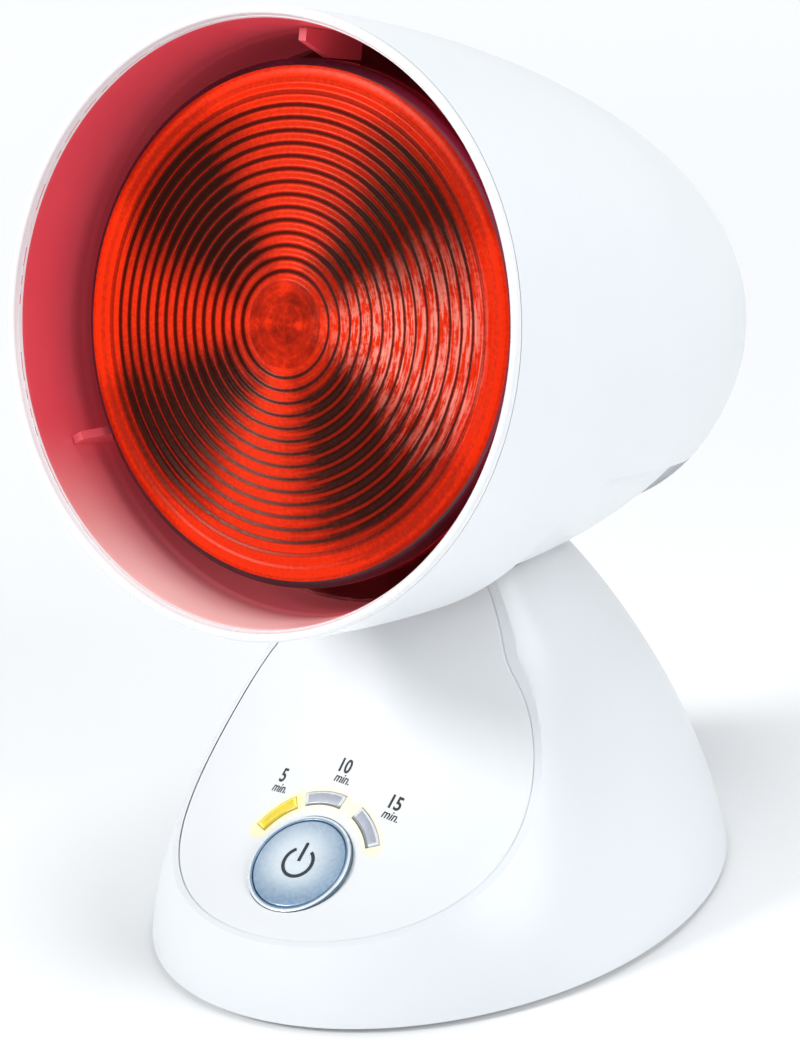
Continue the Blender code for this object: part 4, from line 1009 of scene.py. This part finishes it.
def lip_outline():
    """The rounded lip, from its inner side over its front to the shade's edge."""
    radius = LIP_THICK / 2
    outline = [(LIP_INNER - radius, radius)]
    outline += arc((LIP_INNER + radius, -LIP_THICK + radius), radius, -math.pi, -math.pi / 2, 8)
    outline += arc((RIM_RADIUS - radius, -LIP_THICK + radius), radius, -math.pi / 2, 0, 8)
    return outline + [(RIM_RADIUS, 0), (RIM_RADIUS - SHELL_WALL - WALL_GAP, 0)]


def wall_outlines():
    """The inner wall's inside, with its step and opened mouth, and its outside."""
    inside = []
    outside = []
    for step in range(RINGS + 1):
        back = LIP_THICK + (LINER_LENGTH - LIP_THICK) * step / RINGS
        ledge = LINER_STEP if back > LINER_STEP_AT else 0
        opened = max(1 - back / WALL_MOUTH_END, 0) ** 2 * (WALL_MOUTH - liner_inside(0))
        inside.append((liner_inside(back) - ledge + opened, back))
        outside.append((liner_inside(back) + LINER_WALL, back))
    return inside, outside


def wall_rib(angle):
    """A thin rib from the wall to the bulb's edge, cut slanting in front."""
    end = RIB_FRONT + RIB_LENGTH
    outer = liner_inside(end) + LINER_WALL / 2
    low = BULB_RADIUS + FIT
    outline = ((low, end), (outer, end), (outer, RIB_FRONT),
               (outer - (outer - low) * (1 - RIB_TAPER_SHARE), RIB_FRONT),
               (low, RIB_FRONT + RIB_LENGTH * (1 - RIB_TAPER_SHARE)))
    rib = prism(outline, -RIB_THICK / 2, RIB_THICK / 2)
    upright = Matrix(((1, 0, 0, 0), (0, 0, 1, 0), (0, 1, 0, 0), (0, 0, 0, 1)))
    bmesh.ops.transform(rib, matrix=Matrix.Rotation(angle, 4, "Z") @ upright, verts=rib.verts)
    return rib


def rim_and_wall(lip_finish, wall_finish):
    """The rounded white lip, the tinted inner wall with its step, and the ribs."""
    inside, outside = wall_outlines()
    made = object_of(turned(lip_outline() + outside + inside[::-1], FINE), "rim_and_wall", HEAD,
                     (lip_finish, wall_finish))
    for number in range(RIBS):
        combine(made, "UNION", wall_rib(-math.pi / 2 + 2 * math.pi * number / RIBS), HEAD)
    paint_faces(made, lambda off, back: back > LIP_THICK / 2 and off < LIP_INNER - FIT)
    finish_shading(made, 40)
    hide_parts("inner_shade")
    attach(made, "head")


def lens_front(radius):
    """Depth of the lens's face behind the rim: a low dome with pressed rings round a plain middle."""
    depth = LENS_FRONT + LENS_RISE * (radius / LENS_RADIUS) ** 2
    if radius <= LENS_DISC:
        return depth
    wave = (1 - math.cos(2 * math.pi * (radius - LENS_DISC) / RIPPLE_PITCH)) / 2
    return depth + RIPPLE_HEIGHT * wave


def pressed_lens(lens_finish, edge_finish):
    """The bulb's front: a plain middle, pressed rings and a thick rounded edge."""
    count = int((LENS_RADIUS - LENS_DISC) / RIPPLE_PITCH)
    radii = [LENS_DISC * step / DISC_STEPS for step in range(DISC_STEPS)]
    radii += [LENS_DISC + RIPPLE_PITCH * step / RIPPLE_STEPS for step in range(count * RIPPLE_STEPS + 1)]
    profile = [(radius, lens_front(radius)) for radius in radii]
    profile.append((LENS_RADIUS, LENS_FRONT + LENS_RISE))
    shoulder = LENS_FRONT + LENS_RISE + LENS_SHOULDER
    for step in range(1, LENS_EDGE_STEPS + 1):
        angle = math.pi / 2 * step / LENS_EDGE_STEPS
        profile.append((LENS_RADIUS + (BULB_RADIUS - LENS_RADIUS) * math.sin(angle),
                        shoulder - LENS_SHOULDER * math.cos(angle)))
    seam = BULB_SEAM - FIT / 2
    profile += [(BULB_RADIUS, seam), (BULB_RADIUS - LENS_WALL, seam)]
    profile += [(LENS_RADIUS - LENS_WALL, shoulder), (0, LENS_FRONT + LENS_WALL)]
    made = object_of(turned(profile, FINE), "bulb_lens_pressed", HEAD, (lens_finish, edge_finish), 60)
    paint_faces(made, lambda off, back: off > BULB_RADIUS - GLOW_STOPS)
    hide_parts("bulb_lens")
    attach(made, "head")


def bulb_bowl(finish):
    """The bulb's bowl behind its seam, narrowing to the neck."""
    outside = [(BULB_RADIUS, BULB_SEAM + FIT / 2), (BULB_RADIUS, (BULB_SEAM + BULB_WAIST) / 2)]
    inside = [(BULB_RADIUS - LENS_WALL, BULB_SEAM + FIT / 2)]
    steps = RINGS // 2
    for step in range(steps + 1):
        back = BULB_WAIST + (BOWL_END - BULB_WAIST) * (1 - (1 - step / steps) ** 2)
        share = (BOWL_END - back) / (BOWL_END - BULB_WAIST)
        radius = BOWL_NECK + (BULB_WAIST_RADIUS - BOWL_NECK) * math.sqrt(share)
        outside.append((radius, back))
        inside.append((radius - GLASS_WALL, back))
    outside += [(BULB_NECK_RADIUS, BULB_NECK_END), (0, BULB_NECK_END)]
    end = BULB_NECK_END - GLASS_WALL
    inside += [(BULB_NECK_RADIUS - GLASS_WALL, end), (0, end)]
    made = object_of(turned(outside[::-1] + inside, FINE), "bulb_bowl", HEAD, (finish,), 50)
    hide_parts("bulb_reflector")
    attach(made, "head")


# Base


def neck_sides():
    """What is cut off both sides of the dome to leave a flat-sided neck."""
    for side in (-1, 1):
        flat = block((NECK_HALF_WIDTH, -BASE_FRONT, NECK_SHOULDER),
                     (BASE_HALF_WIDTH, BASE_REAR, DOME_HEIGHT + OVERRUN))
        bmesh.ops.scale(flat, vec=Vector((side, 1, 1)), verts=flat.verts)
        yield flat


def neck_trim():
    """What is taken off the dome to leave a neck that is round about the pivot and slopes behind."""
    over = arc((0, PIVOT.z), NECK_TOP_RADIUS, math.pi, NECK_SLOPE, 40)
    fall = DOME_HEIGHT * NECK_FALL_SHARE
    low = (over[-1][0] + fall * math.sin(NECK_SLOPE), over[-1][1] - fall * math.cos(NECK_SLOPE))
    back = low[0] + BASE_REAR
    top = PIVOT.z + DOME_HEIGHT
    front = -BASE_FRONT - OVERRUN
    return side_prism(over + [low, (back, low[1]), (back, top), (front, top), (front, PIVOT.z)],
                      BASE_HALF_WIDTH)


def panel_pocket():
    """The recess that the front panel sits in."""
    pocket = object_of(dome(PANEL_EDGE, -OVERRUN, PANEL_TOP + FIT), "pocket", BASE, ())
    combine(pocket, "INTERSECT", panel_roll(PANEL_THICK + FIT), BASE)
    shape = bmesh.new()
    shape.from_mesh(pocket.data)
    return pocket, shape


def base_casing(finish):
    """The domed base with its neck, pivot boss, panel recess and cord inlet."""
    made = object_of(dome(0, SHELL_FOOT, DOME_HEIGHT * DOME_TOP_SHARE), "base_casing", BASE, (finish,))
    cut(made, dome(BASE_WALL, -OVERRUN, HOLLOW_TOP, RINGS // 2, FINE // 2), BASE)
    for flat in neck_sides():
        cut(made, flat, BASE)
    cut(made, neck_trim(), BASE)
    boss = sideways(rod(BOSS_RADIUS, -BOSS_HALF_WIDTH, BOSS_HALF_WIDTH))
    combine(made, "UNION", raised(boss, PIVOT.z), BASE)
    bore = sideways(rod(AXLE_RADIUS + FIT, -BOSS_HALF_WIDTH - OVERRUN, BOSS_HALF_WIDTH + OVERRUN))
    cut(made, raised(bore, PIVOT.z), BASE)
    cut(made, panel_roll(0), BASE)
    pocket, pocket_shape = panel_pocket()
    cut(made, pocket_shape, Matrix.Identity(4))
    bpy.data.objects.remove(pocket, do_unlink=True)
    rear = CENTRE_LEAN_SHARE * GLAND_HEIGHT - BASE_CENTRE_AHEAD + rear_depth(GLAND_HEIGHT)
    inlet = BASE @ Matrix.Translation((0, rear, GLAND_HEIGHT)) @ Matrix.Rotation(-math.pi / 2, 4, "X")
    cut(made, rod(GLAND_HOLE, -OVERRUN * 2, OVERRUN * 2), inlet)
    finish_shading(made, 30)
    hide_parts("base_shell")
    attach(made, "base")


def ring_sector(inner, outer, centre, half, low, high):
    """A piece of a flat ring, from its centre's direction to half an angle either way."""
    corners = ((inner, low), (outer, low), (outer, high), (inner, high))
    rings = []
    for step in range(GUIDE_STEPS + 1):
        turn = centre + half * (2 * step / GUIDE_STEPS - 1)
        rings.append([(radius * math.cos(turn), radius * math.sin(turn), height)
                      for radius, height in corners])
    return drawn_through(rings)


def control_panel(finish):
    """The dished panel, with the button's recess and bore and a slot for each timer mark."""
    made = object_of(dome(PANEL_EDGE + FIT, -OVERRUN, PANEL_TOP), "control_panel", BASE, (finish,))
    combine(made, "INTERSECT", panel_roll(PANEL_THICK), BASE)
    cut(made, panel_roll(0), BASE)
    deep = PANEL_THICK * 5
    cut(made, rod(RING_OUTSIDE + GUIDE_GAP, -RING_FLOOR, deep), PANEL)
    bore = BUTTON_RADIUS + BUTTON_GAP + RING_WALL + GUIDE_GAP
    cut(made, rod(bore, -deep, deep), PANEL)
    edge = GUIDE_GAP / GUIDE_INNER
    for angle in GUIDE_ANGLES.values():
        slot = ring_sector(GUIDE_INNER - GUIDE_GAP, GUIDE_OUTER + GUIDE_GAP, angle,
                           GUIDE_HALF_ANGLE + edge, -deep, deep)
        cut(made, slot, PANEL)
    finish_shading(made, 30)
    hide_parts("front_panel")
    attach(made, "base")


def mark_corners():
    """Radius and drop below the top of a light guide's corners, with no drop given at its foot."""
    soft = GUIDE_ROUNDING
    rising = [(GUIDE_INNER, None), (GUIDE_INNER, soft), (GUIDE_INNER + soft / 3, soft / 3),
              (GUIDE_INNER + soft, 0)]
    falling = [(GUIDE_OUTER - soft, 0), (GUIDE_OUTER - soft / 3, soft / 3), (GUIDE_OUTER, soft),
               (GUIDE_OUTER, None)]
    return rising + falling


def timer_marks(finishes):
    """The three light guides, a little proud of the panel, with softened edges."""
    for label, angle in GUIDE_ANGLES.items():
        rings = []
        for step in range(GUIDE_STEPS + 1):
            turn = angle + GUIDE_HALF_ANGLE * (2 * step / GUIDE_STEPS - 1)
            ring = []
            for radius, drop in mark_corners():
                x = radius * math.cos(turn)
                up = radius * math.sin(turn)
                height = GUIDE_FLOOR if drop is None else panel_height(x, up) + GUIDE_PROUD - drop
                ring.append((x, up, height))
            rings.append(ring)
        made = object_of(drawn_through(rings), f"timer_mark_{label}", PANEL, (finishes[label],), 50)
        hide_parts(f"light_guide_{label}")
        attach(made, "base")


def crown_height(radius):
    """Height of the button's face, a shallow dome."""
    share = radius / (BUTTON_RADIUS - BUTTON_EDGE)
    return BUTTON_CROWN - (BUTTON_CROWN - BUTTON_EDGE * 1.6) * share**2


def push_button(finish):
    """The crowned button with its flange and stem."""
    face_radius = BUTTON_RADIUS - BUTTON_EDGE
    profile = []
    for step in range(BUTTON_STEPS + 1):
        radius = face_radius * step / BUTTON_STEPS
        profile.append((radius, crown_height(radius)))
    profile += arc((face_radius, profile[-1][1] - BUTTON_EDGE), BUTTON_EDGE, math.pi / 2, 0, 5)[1:]
    skirt_end = -BUTTON_SKIRT - BUTTON_FLANGE_THICK
    profile += [(BUTTON_RADIUS, -BUTTON_SKIRT), (BUTTON_FLANGE, -BUTTON_SKIRT),
                (BUTTON_FLANGE, skirt_end), (BUTTON_STEM_RADIUS, skirt_end),
                (BUTTON_STEM_RADIUS, -BUTTON_STEM_END), (0, -BUTTON_STEM_END)]
    made = object_of(turned(profile, FINE), "push_button", PANEL, (finish,), 40)
    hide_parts("power_button")
    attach(made, "button")


def bright_ring(finish):
    """The ring round the button, rounded on top."""
    inside = BUTTON_RADIUS + BUTTON_GAP
    half = RING_WALL / 2
    profile = [(inside, -RING_DEPTH), (inside, RING_TOP - half)]
    profile += arc((inside + half, RING_TOP - half), half, math.pi, math.pi / 2, 5)[1:]
    profile += arc((RING_OUTSIDE - RING_WALL, RING_TOP - RING_WALL), RING_WALL, math.pi / 2, 0, 6)
    profile += [(RING_OUTSIDE, FIT - RING_FLOOR), (inside + RING_WALL, FIT - RING_FLOOR),
                (inside + RING_WALL, -RING_DEPTH)]
    made = object_of(turned(profile, FINE), "bright_ring", PANEL, (finish,), 40)
    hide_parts("button_ring")
    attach(made, "base")


def power_mark(finish):
    """The power symbol, laid on the button's crown."""
    half = ICON_STROKE / 2
    start = math.pi / 2 + ICON_GAP
    end = math.pi / 2 - ICON_GAP + 2 * math.pi
    ring = arc((0, 0), ICON_RADIUS + half, start, end, 48)
    ring += arc((0, 0), ICON_RADIUS - half, end, start, 48)
    bar = [(-half, ICON_BAR_FOOT), (half, ICON_BAR_FOOT)]
    bar += arc((0, ICON_BAR_TOP - half), half, 0, math.pi, 8)
    for name, points in (("power_mark_ring", ring), ("power_mark_bar", bar)):
        shape = prism(points, 0, 1)
        for vertex in shape.verts:
            lift = PRINT_LIFT if vertex.co.z > 0 else -PRINT_LIFT
            vertex.co.z = crown_height(math.hypot(vertex.co.x, vertex.co.y)) + lift
        made = object_of(shape, name, PANEL, (finish,))
        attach(made, "button")


def letters(words, kind):
    """The letters as a mesh: words slanted, digits thickened."""
    curve = bpy.data.curves.new("label", "FONT")
    curve.body = words
    curve.size = 1.0
    curve.shear = WORD_SLANT if kind == "word" else 0.0
    curve.extrude = 0.1
    curve.offset = LETTER_WEIGHT if kind == "digit" else 0.0
    curve.resolution_u = 4
    text = bpy.data.objects.new("label", curve)
    bpy.context.scene.collection.objects.link(text)
    bpy.context.view_layer.update()
    mesh = bpy.data.meshes.new_from_object(text.evaluated_get(bpy.context.evaluated_depsgraph_get()))
    bpy.data.objects.remove(text, do_unlink=True)
    shape = bmesh.new()
    shape.from_mesh(mesh)
    bpy.data.meshes.remove(mesh)
    return shape


def laid_on_panel(shape, x, up, height):
    """Scales letters to a height and lays them round a place on the curved panel."""
    low_x = min(v.co.x for v in shape.verts)
    high_x = max(v.co.x for v in shape.verts)
    low_y = min(v.co.y for v in shape.verts)
    high_y = max(v.co.y for v in shape.verts)
    scale = height / (high_y - low_y)
    for vertex in shape.verts:
        side = (vertex.co.x - (low_x + high_x) / 2) * scale * LETTER_WIDTH_SHARE
        rise = (vertex.co.y - (low_y + high_y) / 2) * scale
        place_x = x + side * math.cos(LABEL_TURN) - rise * math.sin(LABEL_TURN)
        place_up = up + side * math.sin(LABEL_TURN) + rise * math.cos(LABEL_TURN)
        lift = PRINT_LIFT if vertex.co.z > 0 else -PRINT_LIFT
        vertex.co = (place_x, place_up, panel_height(place_x, place_up) + lift)


def printed_labels(finish):
    """The minutes by the timer marks, printed on the curved panel."""
    for number, (words, x, up, kind) in enumerate(LABELS, start=1):
        shape = letters(words, kind)
        laid_on_panel(shape, x, up, DIGIT_HEIGHT if kind == "digit" else WORD_HEIGHT)
        made = object_of(shape, f"printed_label_{number}", PANEL, (finish,), 30)
        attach(made, "base")


# Studio


def seen_by(tree):
    """1 for rays that show the background: from the camera, mirrored or through glass."""
    path = tree.nodes.new("ShaderNodeLightPath").outputs
    seen = path["Is Camera Ray"]
    for kind in ("Is Glossy Ray", "Is Transmission Ray"):
        larger = tree.nodes.new("ShaderNodeMath")
        larger.operation = "MAXIMUM"
        tree.links.new(seen, larger.inputs[0])
        tree.links.new(path[kind], larger.inputs[1])
        seen = larger.outputs[0]
    return seen


def floor():
    """White paper that looks whiter far out, to rays that show the background only."""
    made = Nodes("floor_paper")
    made.set("Base Color", made.mix(made.noise(3.0, 2.0), PAPER_GREY, PAPER_WHITE))
    made.set("Roughness", 0.9)
    made.set("Specular IOR Level", 0.1)
    x, y, _ = made.parts()
    far = made.spread(made.distance(x, y), 0.15, 1.3, 0.06, 0.42)
    made.set("Emission Color", (1, 1, 1, 1))
    made.set("Emission Strength", made.times(seen_by(made.tree), far))
    shape = bmesh.new()
    reach = FLOOR_REACH
    corners = ((-reach, -reach, 0), (reach, -reach, 0), (reach, reach, 0), (-reach, reach, 0))
    shape.faces.new([shape.verts.new(corner) for corner in corners])
    object_of(shape, "floor", Matrix.Identity(4), (made.material,))


def area_light(name, place, size, power, colour=(1, 1, 1)):
    """A round lamp that looks at the middle of the object."""
    data = bpy.data.lights.new(name, "AREA")
    data.shape = "DISK"
    data.size = size
    data.energy = power
    data.color = colour
    lamp = bpy.data.objects.new(name, data)
    lamp.location = place
    lamp.rotation_euler = (LIGHTS_AIM - Vector(place)).to_track_quat("-Z", "Y").to_euler()
    bpy.context.scene.collection.objects.link(lamp)


def sky():
    """A weak blue-white sky for light, and plain white where the background is seen."""
    world = bpy.data.worlds.new("studio")
    world.use_nodes = True
    tree = world.node_tree
    background = tree.nodes["Background"]
    background.inputs["Color"].default_value = (*SKY_BLUE, 1)
    background.inputs["Strength"].default_value = SKY_STRENGTH
    seen_sky = tree.nodes.new("ShaderNodeBackground")
    seen_sky.inputs["Color"].default_value = (1, 1, 1, 1)
    seen_sky.inputs["Strength"].default_value = 1.0
    either = tree.nodes.new("ShaderNodeMixShader")
    tree.links.new(seen_by(tree), either.inputs[0])
    tree.links.new(background.outputs[0], either.inputs[1])
    tree.links.new(seen_sky.outputs[0], either.inputs[2])
    tree.links.new(either.outputs[0], tree.nodes["World Output"].inputs["Surface"])
    bpy.context.scene.world = world


def studio():
    sky()
    area_light("key", (-0.75, -1.15, 0.95), size=0.45, power=14.5)
    area_light("right", (1.55, -0.12, 0.85), size=1.1, power=13, colour=(0.97, 0.985, 1.0))
    area_light("top", (0.1, 0.2, 1.6), size=0.8, power=9)
    bpy.context.scene.view_settings.view_transform = "Standard"


def camera():
    data = bpy.data.cameras.new("photo_view")
    data.sensor_width = SENSOR_WIDTH
    data.lens = FOCAL_PIXELS * SENSOR_WIDTH / PHOTO_HEIGHT
    data.clip_start = 0.05
    data.clip_end = 20
    made = bpy.data.objects.new("photo_view", data)
    back = Vector((math.sin(CAMERA_AZIMUTH) * math.cos(CAMERA_ELEVATION),
                   -math.cos(CAMERA_AZIMUTH) * math.cos(CAMERA_ELEVATION), math.sin(CAMERA_ELEVATION)))
    level = Vector((math.cos(CAMERA_AZIMUTH), math.sin(CAMERA_AZIMUTH), 0))
    upright = back.cross(level)
    right = level * math.cos(CAMERA_ROLL) + upright * math.sin(CAMERA_ROLL)
    up = upright * math.cos(CAMERA_ROLL) - level * math.sin(CAMERA_ROLL)
    place = Matrix((right, up, back)).transposed().to_4x4()
    place.translation = CAMERA_TARGET + back * CAMERA_DISTANCE
    made.matrix_world = place
    bpy.context.scene.collection.objects.link(made)
    bpy.context.scene.camera = made


def guide_finishes():
    """Lit yellow for the five-minute mark, clear grey for the others."""
    finishes = {}
    for label, centre in GUIDE_ANGLES.items():
        if label == "5":
            finishes[label] = framed_guide("guide_lit", LIT_YELLOW, 0.12, centre, LIT_EDGE_HIGHLIGHT, LIT_SHADE)
        else:
            finishes[label] = framed_guide(f"guide_unlit_{label}", CLEAR_GREY, 0.0, centre,
                                           CLEAR_EDGE_HIGHLIGHT, CLEAR_SHADE)
    return finishes


def dress_solids():
    """Materials of the solids that have no piece of the scene in their place."""
    repaint(("bulb_screw_cap", "bulb_contact", "holder_sleeve", "holder_contact"),
            metal("stamped_brass", (0.72, 0.53, 0.22), 0.28).material)
    repaint(("lampholder", "mains_fuse"), ceramic())
    screws = [name for name in frame["nodes"] if "screw_" in name and name != "bulb_screw_cap"]
    zinc = metal("zinc_plate", (0.62, 0.63, 0.66), 0.32).material
    repaint(["lamp_frame", "pivot_axle", "axle_nut"] + screws, zinc)
    repaint(("heat_shield",), red_lit_aluminium())
    repaint(("timer_board", "power_board"), board_laminate())
    repaint(("base_plate", "thermal_cutout", "switch_plunger", "tact_switch", "supply_transformer"),
            plastic("black_plastic", (0.030, 0.030, 0.033), 0.5, worn=0.2).material)
    repaint([name for name in frame["nodes"] if name.startswith("foot_")] + ["cord_gland"], rubber())
    repaint(("timer_relay",), plastic("relay_case", (0.05, 0.15, 0.40), 0.4).material)
    repaint(("ballast_weight",), cast_iron())
    repaint(("supply_capacitor", "terminal_block", "friction_washer_left", "friction_washer_right"),
            plastic("natural_nylon", (0.66, 0.64, 0.58), 0.5).material)
    repaint(("led_5", "led_10", "led_15"), light_guide("led_resin", (0.60, 0.61, 0.62), 0.0).material)


def main():
    camera()
    white = white_casing()
    shade(white)
    lower_cover(white)
    rim_and_wall(lip_plastic(), inner_wall())
    pressed_lens(ruby_lens(), plum_edge())
    bulb_bowl(crimson_glass())
    base_casing(white)
    control_panel(panel_plastic())
    timer_marks(guide_finishes())
    push_button(button_face())
    bright_ring(button_surround())
    power_mark(ink("icon_ink", ICON_INK))
    printed_labels(ink("label_ink", LABEL_INK))
    dress_solids()
    floor()
    studio()


main()
